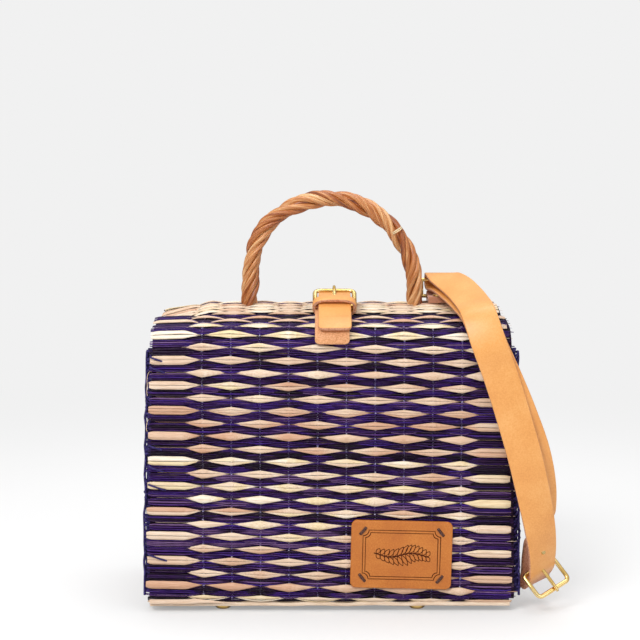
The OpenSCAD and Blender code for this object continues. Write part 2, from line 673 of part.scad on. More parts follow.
// Shoulder strap: tip, up the back layer, round the ring, down the front layer, round the buckle's heel
// bar and up the short tail. Each stop gives the strap's middle and the way its width runs. Stops beside
// the basket are counted from its side, its front face and its shoulder, and grow with its height.
route_height = 221;
hang = shoulder_z / route_height;
function beside(p) =
    let (z = shoulder_z + hang * p[2])
    [half_w(z) + hang * p[0], hang * p[1], z];
ring_top = [anchor_x, ring_heel[0], ring_heel[1] + ring_len];
buckle_mid = beside([17.593, 10.4, -188.6]);
function side_stop(p, across) = [beside(p), across];
function ring_stop(p, across) = [ring_top + p, across];
function fold_stop(p, across) = [buckle_mid + p, across];
front_most = 10.6;
strap_route = [
    side_stop([17.88, 6, -155], [24, 8, 3]),
    side_stop([18.06, 2.2, -126], [24, 5, 4]),
    side_stop([12.26, -3.8, -96], [24, 1.5, 6]),
    side_stop([1.96, -6.6, -66], [24, 0, 8]),
    side_stop([-8.43, -7, -40], [24, 0, 8]),
    side_stop([-18.87, -6.6, -16], [24, 0, 7]),
    side_stop([-25.93, 3.4, 4.8], [24, 0, 5]),
    side_stop([-30.76, 26, 11.2], [24, 0, 4]),
    ring_stop([13, -38, -11.2], [24, 0, 3]),
    ring_stop([6, -18, -7.2], [25, 0, 1]),
    ring_stop([1, -4, -6.6], [26, 0, 0]),
    ring_stop([0, 3, -4.6], [26, 0, 0]),
    ring_stop([0, 4.4, -1.4], [26, 0, 0]),
    ring_stop([0, 3.9, 2], [26, 0, 0]),
    ring_stop([0, 1.6, 4.1], [26, 0, 0]),
    ring_stop([0, -2, 4.3], [26, 0, 0]),
    ring_stop([3, -12, 2.4], [25, 0, 4]),
    ring_stop([9, -26, -1.1], [24, 0, 6]),
    ring_stop([14, -40, -5.4], [24, 0, 6]),
    side_stop([-30.64, 26, 16.8], [24, 0, 6]),
    side_stop([-27.33, 2.4, 10], [24, 0, 6]),
    side_stop([-21.28, -10.2, -11.2], [24, 0, 9]),
    side_stop([-13.29, -front_most, -34], [24, 0, 9]),
    side_stop([-5.86, -front_most, -58], [24, 0, 8]),
    side_stop([3.37, -10.4, -91], [24, 0, 7]),
    side_stop([9.74, -8.8, -118], [24, 2, 6]),
    side_stop([16.02, -4.9, -149], [23, 8, 5]),
    fold_stop([1.3, -9.2, 17.8], [22, 12, 7]),
    fold_stop([2.1, -3.8, 0.8], [22, 14, 9]),
    fold_stop([2, -0.2, -4.6], [22, 14, 9]),
    fold_stop([0.7, 6.2, -10.6], [22, 14, 9]),
    fold_stop([-1, 11.8, -13.7], [21, 15, 8]),
    fold_stop([-3.2, 15.9, -7.9], [17, 19, 5]),
    fold_stop([-5.2, 17.2, 5.6], [12, 22, 3]),
    fold_stop([-5.4, 18, 19.6], [9, 24, 0])];
function unit(v) = v / norm(v);
function strap_ahead(i) =
    unit(strap_route[min(i + 1, len(strap_route) - 1)][0] - strap_route[max(i - 1, 0)][0]);
function strap_ring_points(i) =
    let (p = strap_route[i][0], t = strap_ahead(i), a = strap_route[i][1])
    let (across = unit(a - (a * t) * t), face = cross(t, across))
    [for (k = [[-1, -1], [1, -1], [1, 1], [-1, 1]])
        p + k[0] * strap_w / 2 * across + k[1] * strap_t / 2 * face];
module ribbon_strap() {
    count = len(strap_route);
    points = [for (i = [0:count - 1]) each strap_ring_points(i)];
    sides = [for (i = [0:count - 2]) for (j = [0:3])
        let (a = 4 * i + j, b = 4 * i + (j + 1) % 4, c = a + 4, d = b + 4) each [[a, b, d], [a, d, c]]];
    ends = [[3, 2, 1, 0], [for (j = [0:3]) 4 * (count - 1) + j]];
    polyhedron(points, concat(sides, ends), convexity = 8);
}

// The strap's buckle hangs in the fold at the front layer's end.
strap_wire_r = strap_wire / 2;
buckle_across = unit([22, 14, 9]);
buckle_down = unit(cross(buckle_across, cross([0.42, -0.49, -0.76], buckle_across)));
buckle_up = cross(buckle_down, buckle_across);
strap_frame_len = 20;
slot_back = 6;
module in_buckle() {
    multmatrix([
        [-buckle_across[0], buckle_down[0], buckle_up[0], buckle_mid[0]],
        [-buckle_across[1], buckle_down[1], buckle_up[1], buckle_mid[1]],
        [-buckle_across[2], buckle_down[2], buckle_up[2], buckle_mid[2]],
        [0, 0, 0, 1]]) children();
}
module shoulder_strap() {
    placed() color(tan)
        difference() {
            ribbon_strap();
            in_buckle() translate([-slot_w / 2, -slot_back, -4]) cube([slot_w, slot_len, slot_len + 3]);
        }
}
module strap_buckle_frame() {
    placed() color(brass) in_buckle() wire_frame(strap_buckle_w, strap_frame_len, strap_wire_r);
}
module strap_prong() placed() color(brass) in_buckle() prong(strap_wire_r, strap_frame_len, 1.1);
stud_on_strap = buckle_mid + [1, -8, 14.1];
module strap_stud() {
    placed() color(brass)
        translate(stud_on_strap)
            rotate([70, 0, 30])
                cylinder(r = 2, h = strap_t / 2 + 1, $fn = 24);
}

// The origin lies on the floor under the middle of the whole object, strap and cords included.
frame_reach = 24.9;
cord_reach = 2.7;
right_most = buckle_mid[0] + frame_reach;
left_most = -base_w / 2 - cord_reach;
rear_most = depth + natural_swell;
middle = [(right_most + left_most) / 2, (rear_most - hang * front_most - strap_t / 2) / 2, 0];
module placed() translate(-middle) children();

basket_mat();
front_natural_reeds();
base_natural_reeds();
back_natural_reeds();
left_side_panel();
right_side_panel();
left_side_reeds();
right_side_reeds();
seam_front_left();
seam_front_right();
seam_rear_left();
seam_rear_right();
foot_front_left();
foot_front_right();
foot_rear_left();
foot_rear_right();
foot_washers();
leather_patch();
patch_stitches();
snap_socket();
lid_mat();
lid_natural_reeds();
handle_cane_1();
handle_cane_2();
handle_cane_3();
handle_pegs();
closure_billet();
closure_chape();
closure_keeper();
closure_buckle_frame();
closure_rivet();
closure_prong();
snap_stud();
anchor_tab();
anchor_stud();
strap_ring();
shoulder_strap();
strap_buckle_frame();
strap_prong();
strap_stud();
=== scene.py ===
import json
import math
import bpy
import numpy as np
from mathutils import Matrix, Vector


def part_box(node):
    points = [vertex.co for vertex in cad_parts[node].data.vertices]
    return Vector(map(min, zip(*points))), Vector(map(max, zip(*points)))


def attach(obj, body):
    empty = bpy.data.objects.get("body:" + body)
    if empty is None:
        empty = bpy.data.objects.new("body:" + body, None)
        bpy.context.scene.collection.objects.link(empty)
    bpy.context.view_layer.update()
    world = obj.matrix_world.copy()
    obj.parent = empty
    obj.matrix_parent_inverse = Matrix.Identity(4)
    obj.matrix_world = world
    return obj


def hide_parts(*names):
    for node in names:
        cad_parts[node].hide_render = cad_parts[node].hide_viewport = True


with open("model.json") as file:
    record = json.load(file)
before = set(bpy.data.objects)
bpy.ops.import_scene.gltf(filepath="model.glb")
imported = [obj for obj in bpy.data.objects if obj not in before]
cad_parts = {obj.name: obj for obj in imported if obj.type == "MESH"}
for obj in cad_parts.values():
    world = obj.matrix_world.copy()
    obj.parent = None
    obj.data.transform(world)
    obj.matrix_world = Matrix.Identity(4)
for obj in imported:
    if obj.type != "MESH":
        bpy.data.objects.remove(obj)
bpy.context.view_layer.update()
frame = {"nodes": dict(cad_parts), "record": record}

MM = 0.001

# The bag's own frame is in millimetres, with x = 0 at the middle of the woven mat, y = 0 at its front face
# and z = 0 on the floor. The mat's box gives where that frame lies in the shared one.
SWELL = 0.9
mat_low, mat_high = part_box("basket_mat")
MIDDLE_X = (mat_low.x + mat_high.x) / 2
FRONT_Y = mat_low.y + SWELL * MM


def place(points):
    """Points of the bag's frame in millimetres, as metres of the shared frame."""
    points = np.asarray(points, float)
    return points * MM + np.array([MIDDLE_X, FRONT_Y, 0.0])


# Driving sizes of the basket, as in the part's source.
BASE_W = (mat_high.x - mat_low.x) / MM
DEPTH = (mat_high.y - mat_low.y) / MM - 2 * SWELL
TOP_W = 275.0
SHOULDER_Z = 221.0
SHOULDER_R = 18.0
BASE_R = 8.0
FOOT_H = 7.0
MAT_T = 5.0
RIM_Y = 40.0
LIP_TILT = math.radians(8)
ROW_PITCH = 3.22
WARPS = 10
WARP_PITCH = 21.8
LAST_WARP = (WARPS - 1) / 2 * WARP_PITCH
LID_W = 270.0
DOME_H = 7.3
LID_GAP = 0.5
BAND_W = 28.0
SIDE_INSET = 4.0
HANDLE_Y = 66.0


# The camera fitted to the photograph: its place in the bag's frame, its angle from straight down and its lens.
CAMERA_PLACE = (-9, -1142.61, 355.68)
CAMERA_ANGLE = math.radians(83.5)
CAMERA_LENS = 86.25


def new_object(name, data):
    """Adds an object to the scene for a mesh, a lamp or a camera."""
    made = bpy.data.objects.new(name, data)
    bpy.context.scene.collection.objects.link(made)
    return made


def camera():
    """The photograph's view: a long lens, a little above the bag and looking slightly down."""
    data = bpy.data.cameras.new("camera")
    data.lens = CAMERA_LENS
    data.sensor_width = 36
    data.clip_end = 20
    made = new_object("camera", data)
    made.location = Vector(place(CAMERA_PLACE))
    made.rotation_euler = (CAMERA_ANGLE, 0, 0)
    bpy.context.scene.camera = made
    bpy.context.scene.view_settings.view_transform = "Standard"


# Node trees and materials

def add(tree, kind, values=None, **settings):
    """Adds a node with its settings, and links or sets its inputs."""
    made = tree.nodes.new(kind)
    for key, value in settings.items():
        setattr(made, key, value)
    for key, value in (values or {}).items():
        if isinstance(value, bpy.types.NodeSocket):
            tree.links.new(value, made.inputs[key])
        else:
            made.inputs[key].default_value = value
    return made


def linear(code):
    """A hex sRGB colour as linear RGBA."""
    parts = [int(code[i:i + 2], 16) / 255 for i in (1, 3, 5)]
    return tuple(c / 12.92 if c <= 0.04045 else ((c + 0.055) / 1.055) ** 2.4 for c in parts) + (1.0,)


def ramp(tree, factor, stops):
    """A colour ramp of (place, hex) stops."""
    made = add(tree, "ShaderNodeValToRGB", {"Fac": factor})
    made.color_ramp.elements.remove(made.color_ramp.elements[1])
    for i, (spot, code) in enumerate(stops):
        stop = made.color_ramp.elements[0] if i == 0 else made.color_ramp.elements.new(spot)
        stop.position = spot
        stop.color = linear(code)
    return made.outputs["Color"]


def new_material(name, slot, roughness, **shader):
    """A material with its shader; returns both, with the tree."""
    made = bpy.data.materials.new(name)
    made.use_nodes = True
    made["slot"] = slot
    tree = made.node_tree
    bsdf = tree.nodes["Principled BSDF"]
    bsdf.inputs["Roughness"].default_value = roughness
    for key, value in shader.items():
        bsdf.inputs[key.replace("_", " ")].default_value = value
    return made, tree, bsdf


def skin(tree, bsdf, base, height=None, depth_mm=0.0, strength=1.0):
    """Gives a shader its base colour, and a relief of height times depth."""
    tree.links.new(base, bsdf.inputs["Base Color"])
    if height is not None:
        relief = add(tree, "ShaderNodeBump", {"Height": height, "Distance": depth_mm * MM, "Strength": strength})
        tree.links.new(relief.outputs["Normal"], bsdf.inputs["Normal"])


# How far apart two tones lie in the noise, so that no two strands share their streaks.
TONE_SHIFT = 37.0


def reed_coordinates(tree, along_mm, around):
    """Where a point lies along and around its strand, scaled so that one unit along is along_mm, and the
    strand's tone."""
    along, side, tone = (add(tree, "ShaderNodeAttribute", attribute_name=label).outputs["Fac"]
                         for label in ("along", "around", "tone"))
    scaled, turned, shifted = (
        add(tree, "ShaderNodeMath", {0: value, 1: factor}, operation="MULTIPLY").outputs[0]
        for value, factor in ((along, 1 / along_mm), (side, around), (tone, TONE_SHIFT)))
    return add(tree, "ShaderNodeCombineXYZ", {0: scaled, 1: turned, 2: shifted}).outputs[0], tone


FIBRE_DEPTH = 0.25


def streaked_reed(name, slot, roughness, along_mm, around, noise, tones, streaks, share, **shader):
    """Reed in one tone a strand, darkened by its fibres, which run along it and stand out a little."""
    made, tree, bsdf = new_material(name, slot, roughness, **shader)
    spot, tone = reed_coordinates(tree, along_mm, around)
    detail, rough = noise
    fibre = add(tree, "ShaderNodeTexNoise", {"Vector": spot, "Scale": 1.0, "Detail": detail, "Roughness": rough})
    base, streak = ramp(tree, tone, tones), ramp(tree, fibre.outputs["Fac"], streaks)
    mixed = add(tree, "ShaderNodeMix", {"Factor": share, 6: base, 7: streak}, data_type="RGBA",
                blend_type="MULTIPLY")
    skin(tree, bsdf, mixed.outputs[2], fibre.outputs["Fac"], FIBRE_DEPTH)
    return made


def peeled_reed():
    """Natural reed, peeled and split: cream to pinkish straw, with fine fibres along it, and a soft sheen."""
    return streaked_reed(
        "peeled_reed", "natural_reed", 0.52, 14.0, 9.0, (5.0, 0.65),
        [(0.0, "#CFA488"), (0.3, "#DCC0A8"), (0.6, "#E9D6C2"), (0.85, "#E8D6AC"), (1.0, "#F4EADA")],
        [(0.3, "#A87850"), (0.45, "#E6D0B4"), (0.6, "#FFFFFF")], 0.55, Coat_Weight=0.08, Coat_Roughness=0.4)


def dyed_reed():
    """Reed dyed deep violet: dark and glossy, with bluish streaks where the skin of the reed shows."""
    return streaked_reed(
        "dyed_reed", "purple_reed", 0.26, 11.0, 7.0, (4.0, 0.6),
        [(0.0, "#220A24"), (0.25, "#35123F"), (0.5, "#46206A"), (0.72, "#4A268C"), (0.88, "#5C3474"),
         (1.0, "#8A6A94")],
        [(0.34, "#3C2440"), (0.5, "#B09AC8"), (0.66, "#FFFFFF")], 0.9, Specular_IOR_Level=0.22)


def twisted_thread(name, slot, roughness, along_mm, detail, stops, depth_mm, **shader):
    """Thread twisted from fine strands, which show as bands of colour and relief along it."""
    made, tree, bsdf = new_material(name, slot, roughness, **shader)
    spot, _ = reed_coordinates(tree, along_mm, 3.0)
    twist = add(tree, "ShaderNodeTexNoise", {"Vector": spot, "Scale": 1.0, "Detail": detail}).outputs["Fac"]
    skin(tree, bsdf, ramp(tree, twist, stops), twist, depth_mm)
    return made


def warp_string():
    """Spun warp string that took a little of the dye: pale greyish violet, dull and hairy."""
    return twisted_thread("warp_string", "binding_cord", 0.85, 1.6, 2.0,
                          [(0.3, "#4A4070"), (0.5, "#9088B4"), (0.65, "#E0DAF0")], 0.3)


def lacing_cord():
    """Dyed binding cord of the corners: deep blue-violet, twisted, and nearly without shine."""
    return twisted_thread("lacing_cord", "binding_cord", 0.6, 2.0, 3.0,
                          [(0.3, "#14102A"), (0.52, "#2A2058"), (0.75, "#5A4E92")], 0.3, Specular_IOR_Level=0.2)


def waxed_thread():
    """Thick waxed thread: dark brown twisted strands with a low sheen."""
    return twisted_thread("waxed_thread", "waxed_thread", 0.6, 0.9, 2.0,
                          [(0.35, "#24100E"), (0.65, "#6A4A40")], 0.15, Specular_IOR_Level=0.15)


def willow_bark():
    """Willow cane, steamed and peeled: orange-brown with darker grain along it, and a satin surface."""
    made, tree, bsdf = new_material("willow_cane", "willow", 0.42, Coat_Weight=0.15, Coat_Roughness=0.3)
    spot, tone = reed_coordinates(tree, 22.0, 7.0)
    grain = add(tree, "ShaderNodeTexNoise", {"Vector": spot, "Scale": 1.0, "Detail": 6.0, "Roughness": 0.62})
    grain = grain.outputs["Fac"]
    mixed = add(tree, "ShaderNodeMath", {0: tone, 1: 0.24, 2: grain}, operation="MULTIPLY_ADD").outputs[0]
    shade = add(tree, "ShaderNodeMath", {0: mixed, 1: 0.12}, operation="SUBTRACT").outputs[0]
    base = ramp(tree, shade,
                [(0.25, "#5A2410"), (0.4, "#9C5424"), (0.53, "#BE7B44"), (0.66, "#D6A470"), (0.78, "#EACB9C")])
    skin(tree, bsdf, base, grain, 0.35)
    return made


def leather(name, slot, colours, roughness, grain_mm, depth_mm, flesh=None, **shader):
    """Leather by its grain size: pores between rounded grains, and slow changes of colour from the tanning.
    With a flesh colour, the cut edges show raw fibres, and so does all of a band where its tone is 1."""
    made, tree, bsdf = new_material(name, slot, roughness, **shader)
    spot = add(tree, "ShaderNodeTexCoord").outputs["Object"]
    grain = add(tree, "ShaderNodeTexVoronoi", {"Vector": spot, "Scale": 1 / (grain_mm * MM)}, feature="SMOOTH_F1")
    cloud = add(tree, "ShaderNodeTexNoise", {"Vector": spot, "Scale": 45.0, "Detail": 4.0})
    fine = add(tree, "ShaderNodeTexNoise", {"Vector": spot, "Scale": 900.0, "Detail": 2.0})
    both = add(tree, "ShaderNodeMath", {0: cloud.outputs["Fac"], 1: fine.outputs["Fac"]}, operation="ADD")
    half = add(tree, "ShaderNodeMath", {0: both.outputs[0], 1: 0.5}, operation="MULTIPLY")
    base = ramp(tree, half.outputs[0], [(0.3, colours[0]), (0.5, colours[1]), (0.7, colours[2])])
    if flesh:
        facing = add(tree, "ShaderNodeAttribute", attribute_name="facing").outputs["Vector"]
        normal = add(tree, "ShaderNodeTexCoord").outputs["Normal"]
        front = add(tree, "ShaderNodeVectorMath", {0: facing, 1: normal}, operation="DOT_PRODUCT").outputs["Value"]
        face = add(tree, "ShaderNodeMath", {0: front}, operation="ABSOLUTE").outputs[0]
        edge = add(tree, "ShaderNodeMapRange", {"Value": face, 1: 0.35, 2: 0.75, 3: 1.0, 4: 0.0})
        tone = add(tree, "ShaderNodeAttribute", attribute_name="tone").outputs["Fac"]
        side = add(tree, "ShaderNodeMapRange", {"Value": tone, 1: 0.5, 2: 1.0})
        raw = add(tree, "ShaderNodeMath", {0: edge.outputs[0], 1: side.outputs[0]}, operation="MAXIMUM")
        fibres = ramp(tree, fine.outputs["Fac"], [(0.35, flesh[0]), (0.6, flesh[1])])
        both_sides = add(tree, "ShaderNodeMix", {"Factor": raw.outputs[0], 6: base, 7: fibres}, data_type="RGBA")
        base = both_sides.outputs[2]
        rough = add(tree, "ShaderNodeMapRange", {"Value": raw.outputs[0], 3: roughness, 4: 0.9})
        tree.links.new(rough.outputs[0], bsdf.inputs["Roughness"])
    height = add(tree, "ShaderNodeMath", {0: grain.outputs["Distance"], 1: fine.outputs["Fac"]}, operation="ADD")
    skin(tree, bsdf, base, height.outputs[0], depth_mm, 0.6)
    return made


def polished_brass():
    """Polished brass of buckles and feet: warm gold, with faint rubbing marks."""
    made, tree, bsdf = new_material("polished_brass", "brass", 0.22, Metallic=1.0)
    spot = add(tree, "ShaderNodeTexCoord").outputs["Object"]
    marks = add(tree, "ShaderNodeTexNoise", {"Vector": spot, "Scale": 90.0, "Detail": 2.0}).outputs["Fac"]
    skin(tree, bsdf, ramp(tree, marks, [(0.3, "#D8B060"), (0.5, "#E6C47E"), (0.7, "#F0D698")]))
    rough = add(tree, "ShaderNodeMapRange", {"Value": marks, 3: 0.16, 4: 0.26}).outputs[0]
    tree.links.new(rough, bsdf.inputs["Roughness"])
    return made


def burnt_line():
    """Lines burnt into the patch: dark brown, dull."""
    made, tree, bsdf = new_material("burnt_line", "patch_leather", 0.8, Specular_IOR_Level=0.1)
    spot = add(tree, "ShaderNodeTexCoord").outputs["Object"]
    char = add(tree, "ShaderNodeTexNoise", {"Vector": spot, "Scale": 700.0, "Detail": 3.0}).outputs["Fac"]
    skin(tree, bsdf, ramp(tree, char, [(0.35, "#2E0F08"), (0.6, "#52220E")]))
    return made


def inner_weave_and_gap_shade():
    """The inside of the mat, which also shows through the gaps between the reeds: dyed reed with some natural reed,
    dull because no skin shows there, and coloured mostly near black as painted shade in those gaps.
    """
    made, tree, bsdf = new_material("inner_weave_and_gap_shade", "purple_reed", 0.7, Specular_IOR_Level=0.1)
    spot = add(tree, "ShaderNodeTexCoord").outputs["Object"]
    stretched = add(tree, "ShaderNodeMapping", {"Vector": spot, "Scale": (60.0, 700.0, 700.0)}).outputs[0]
    fibre = add(tree, "ShaderNodeTexNoise", {"Vector": stretched, "Scale": 1.0, "Detail": 4.0}).outputs["Fac"]
    # Painted shade: these colours are far darker than the dyed reed, mostly near black, so the sheet seen between the
    # reeds stands in for the shade in the gaps.
    base = ramp(tree, fibre,
                [(0.3, "#10060E"), (0.5, "#1C0C20"), (0.62, "#301A44"), (0.72, "#8A7350"), (0.8, "#C9AE86")])
    skin(tree, bsdf, base, fibre, 0.4)
    return made


# Sweeping: a band or a strand along guide lines

def sweep_tree(name, flat_edges):
    """A node tree that sweeps an oval, or a flat band with rounded edges, along each guide line."""
    tree = bpy.data.node_groups.new(name, "GeometryNodeTree")
    tree.interface.new_socket("Guides", in_out="INPUT", socket_type="NodeSocketGeometry")
    for label, kind in (("Width", "NodeSocketFloat"), ("Thickness", "NodeSocketFloat"),
                        ("Sides", "NodeSocketInt"), ("Finish", "NodeSocketMaterial")):
        tree.interface.new_socket(label, in_out="INPUT", socket_type=kind)
    tree.interface.new_socket("Mesh", in_out="OUTPUT", socket_type="NodeSocketGeometry")
    source = add(tree, "NodeGroupInput").outputs
    line = add(tree, "GeometryNodeMeshToCurve", {"Mesh": source["Guides"]})
    facing = add(tree, "GeometryNodeInputNamedAttribute", {"Name": "facing"}, data_type="FLOAT_VECTOR")
    turned = add(tree, "GeometryNodeSetCurveNormal", {"Curve": line.outputs[0], "Normal": facing.outputs[0]},
                 mode="FREE")
    if flat_edges:
        outline = add(tree, "GeometryNodeCurvePrimitiveQuadrilateral",
                      {"Width": source["Thickness"], "Height": source["Width"]})
        corner = add(tree, "ShaderNodeMath", {0: source["Thickness"], 1: 0.36}, operation="MULTIPLY")
        profile = add(tree, "GeometryNodeFilletCurve",
                      {"Curve": outline.outputs[0], "Count": source["Sides"], "Radius": corner.outputs[0]},
                      mode="POLY").outputs[0]
    else:
        circle = add(tree, "GeometryNodeCurvePrimitiveCircle", {"Resolution": source["Sides"], "Radius": 0.5})
        shape = add(tree, "ShaderNodeCombineXYZ", {0: source["Thickness"], 1: source["Width"], 2: 1.0})
        profile = add(tree, "GeometryNodeTransform", {"Geometry": circle.outputs[0], "Scale": shape.outputs[0]})
        profile = profile.outputs[0]
    around = add(tree, "GeometryNodeSplineParameter")
    marked = add(tree, "GeometryNodeStoreNamedAttribute",
                 {"Geometry": profile, "Name": "around", "Value": around.outputs["Factor"]},
                 data_type="FLOAT", domain="POINT")
    size = add(tree, "GeometryNodeInputNamedAttribute", {"Name": "size"}, data_type="FLOAT")
    swept = add(tree, "GeometryNodeCurveToMesh",
                {"Curve": turned.outputs[0], "Profile Curve": marked.outputs[0], "Scale": size.outputs[0],
                 "Fill Caps": True})
    centre, across, narrow = (
        add(tree, "GeometryNodeInputNamedAttribute", {"Name": label}, data_type=kind).outputs[0]
        for label, kind in (("centre", "FLOAT_VECTOR"), ("across", "FLOAT_VECTOR"), ("narrow", "FLOAT")))
    here = add(tree, "GeometryNodeInputPosition").outputs[0]
    away = add(tree, "ShaderNodeVectorMath", {0: here, 1: centre}, operation="SUBTRACT").outputs[0]
    reach = add(tree, "ShaderNodeVectorMath", {0: away, 1: across}, operation="DOT_PRODUCT").outputs["Value"]
    pull = add(tree, "ShaderNodeMath", {0: reach, 1: narrow}, operation="MULTIPLY").outputs[0]
    inward = add(tree, "ShaderNodeVectorMath", {0: across, "Scale": pull}, operation="SCALE").outputs[0]
    back = add(tree, "ShaderNodeVectorMath", {0: (0, 0, 0), 1: inward}, operation="SUBTRACT").outputs[0]
    pulled = add(tree, "GeometryNodeSetPosition", {"Geometry": swept.outputs[0], "Offset": back})
    smooth = add(tree, "GeometryNodeSetShadeSmooth", {"Geometry": pulled.outputs[0], "Shade Smooth": True})
    real = add(tree, "GeometryNodeRealizeInstances", {"Geometry": smooth.outputs[0]})
    finish = add(tree, "GeometryNodeSetMaterial", {"Geometry": real.outputs[0], "Material": source["Finish"]})
    out = add(tree, "NodeGroupOutput")
    tree.links.new(finish.outputs[0], out.inputs[0])
    return tree


def unit(v):
    return np.asarray(v, float) / np.linalg.norm(v)


def unit_rows(rows):
    return rows / np.linalg.norm(rows, axis=1)[:, None]


def directions(line):
    """Unit vectors along a line of points."""
    return unit_rows(np.gradient(line, axis=0))


def distance_along(line):
    """The length of a line up to each of its points."""
    return np.concatenate([[0.0], np.cumsum(np.linalg.norm(np.diff(line, axis=0), axis=1))])


def guide(points, facing, size=1.0, tone=0.5, narrow=0.0):
    """One guide line: points and facing directions in the bag's frame, with size and tone at each point, and
    the share of its width that a band loses there."""
    points = np.asarray(points, float)
    count = len(points)
    facing = np.broadcast_to(np.asarray(facing, float), (count, 3))
    across = np.cross(facing, np.gradient(points, axis=0))
    across /= np.maximum(np.linalg.norm(across, axis=1), 1e-9)[:, None]
    made = {"points": points, "facing": facing, "across": across, "centre": place(points),
            "along": distance_along(points)}
    for key, value in (("size", size), ("tone", tone), ("narrow", narrow)):
        made[key] = np.broadcast_to(np.asarray(value, float), (count,))
    return made


STRAND = sweep_tree("sweep_strands", False)
BAND = sweep_tree("sweep_bands", True)


def guide_mesh(name, guides):
    """All guide lines as one mesh of edges, with their values as attributes."""
    points = place(np.concatenate([g["points"] for g in guides]))
    starts = np.cumsum([0] + [len(g["points"]) for g in guides[:-1]])
    edges = np.concatenate([start + np.stack([np.arange(len(g["points"]) - 1), np.arange(1, len(g["points"]))], 1)
                            for start, g in zip(starts, guides)])
    mesh = bpy.data.meshes.new(name)
    mesh.from_pydata(points, edges, [])
    for keys, kind, field in ((("size", "tone", "along", "narrow"), "FLOAT", "value"),
                              (("facing", "across", "centre"), "FLOAT_VECTOR", "vector")):
        for key in keys:
            values = np.concatenate([g[key] for g in guides]).astype(np.float32)
            mesh.attributes.new(key, kind, "POINT").data.foreach_set(field, values.ravel())
    return mesh


def finish_piece(name, mesh, body, replaced=()):
    """Makes a piece of a mesh, and lets it ride on its body and stand for its nodes."""
    obj = new_object(name, mesh)
    mesh.name = name
    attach(obj, body)
    if replaced:
        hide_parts(*replaced)


def sweep(name, guides, width, thickness, sides, material, body, replaced=(), tree=STRAND):
    """Sweeps width by thickness, in millimetres, along the guides, as one plain mesh."""
    holder = new_object(name + "_guides", guide_mesh(name + "_guides", guides))
    modifier = holder.modifiers.new("sweep", "NODES")
    modifier.node_group = tree
    values = {"Width": width * MM, "Thickness": thickness * MM, "Sides": sides, "Finish": material}
    for item in tree.interface.items_tree:
        if item.item_type == "SOCKET" and item.in_out == "INPUT" and item.name in values:
            modifier[item.identifier] = values[item.name]
    holder.update_tag()
    evaluated = holder.evaluated_get(bpy.context.evaluated_depsgraph_get())
    mesh = bpy.data.meshes.new_from_object(evaluated)
    bpy.data.objects.remove(holder)
    finish_piece(name, mesh, body, replaced)


# The mat's path, from the front rim over the shoulder, down the front, under the base and up the back

FACE_TOP = SHOULDER_Z - SHOULDER_R
LIP_TURN = math.pi / 2 - LIP_TILT
LIP_Y = SHOULDER_R - SHOULDER_R * math.sin(LIP_TILT)
LIP_Z = FACE_TOP + SHOULDER_R * math.cos(LIP_TILT)
S_LIP = (RIM_Y - LIP_Y) / math.cos(LIP_TILT)
RIM_Z = LIP_Z + S_LIP * math.sin(LIP_TILT)
S_FRONT = S_LIP + SHOULDER_R * LIP_TURN
WALL = FACE_TOP - FOOT_H - BASE_R
S_LOW = S_FRONT + WALL
S_BASE = S_LOW + BASE_R * math.pi / 2
S_HEEL = S_BASE + DEPTH - 2 * BASE_R
S_BACK = S_HEEL + BASE_R * math.pi / 2
S_HIGH = S_BACK + WALL
S_END = S_HIGH + SHOULDER_R * math.pi / 2
ROWS = round(S_END / ROW_PITCH)
ROW_STEP = S_END / ROWS


def outward(heading):
    """The mat's outward direction where it runs towards heading."""
    return np.stack([np.sin(heading), -np.cos(heading)], -1)


def straight(start, heading, s):
    """Places and outward directions at distances along a straight stretch."""
    ahead = np.array([math.cos(heading), math.sin(heading)])
    return np.asarray(start) + s[:, None] * ahead, np.broadcast_to(outward(np.array(heading)), (len(s), 2))


def arc(centre, radius, heading, s):
    """Places and outward directions at distances along a bend."""
    out = outward(heading + s / radius)
    return np.asarray(centre) + radius * out, out


STRETCHES = [
    (S_LIP, straight, ((RIM_Y, RIM_Z), math.pi + LIP_TILT)),
    (S_FRONT, arc, ((SHOULDER_R, FACE_TOP), SHOULDER_R, math.pi + LIP_TILT)),
    (S_LOW, straight, ((0, FACE_TOP), 1.5 * math.pi)),
    (S_BASE, arc, ((BASE_R, FOOT_H + BASE_R), BASE_R, 1.5 * math.pi)),
    (S_HEEL, straight, ((BASE_R, FOOT_H), 0.0)),
    (S_BACK, arc, ((DEPTH - BASE_R, FOOT_H + BASE_R), BASE_R, 0.0)),
    (S_HIGH, straight, ((DEPTH, FOOT_H + BASE_R), math.pi / 2)),
    (S_END, arc, ((DEPTH - SHOULDER_R, FACE_TOP), SHOULDER_R, math.pi / 2))]


def basket_path(s):
    """Place and outward direction in the YZ plane, at each distance s along the basket's mat."""
    s = np.clip(np.asarray(s, float), 0, S_END)
    place_yz, out_yz = np.zeros((len(s), 2)), np.zeros((len(s), 2))
    begin = 0.0
    for end, kind, values in STRETCHES:
        here = (s >= begin) & (s <= end)
        if here.any():
            place_yz[here], out_yz[here] = kind(*values, s[here] - begin)
        begin = end
    return place_yz, out_yz


LID_REAR = np.array([DEPTH - SHOULDER_R - LID_GAP, SHOULDER_Z])
LID_FRONT = np.array([RIM_Y + LID_GAP, RIM_Z + LID_GAP * math.tan(LIP_TILT)])
LID_CHORD = float(np.linalg.norm(LID_REAR - LID_FRONT))
LID_R = ((LID_CHORD / 2) ** 2 + DOME_H ** 2) / (2 * DOME_H)
LID_HALF = math.asin(LID_CHORD / 2 / LID_R)
LID_START = math.pi - LID_HALF - math.atan2(LID_FRONT[1] - LID_REAR[1], LID_REAR[0] - LID_FRONT[0])
LID_CENTRE = LID_REAR - LID_R * outward(np.array(LID_START))
LID_LEN = LID_R * 2 * LID_HALF
LID_ROWS = round(LID_LEN / ROW_STEP)
LID_STEP = LID_LEN / LID_ROWS
BAND_ROWS = round(BAND_W / LID_STEP)


def lid_path(s):
    """Places and outward directions at distances along the lid's dome, from its rear edge."""
    return arc(LID_CENTRE, LID_R, LID_START, np.asarray(s, float))


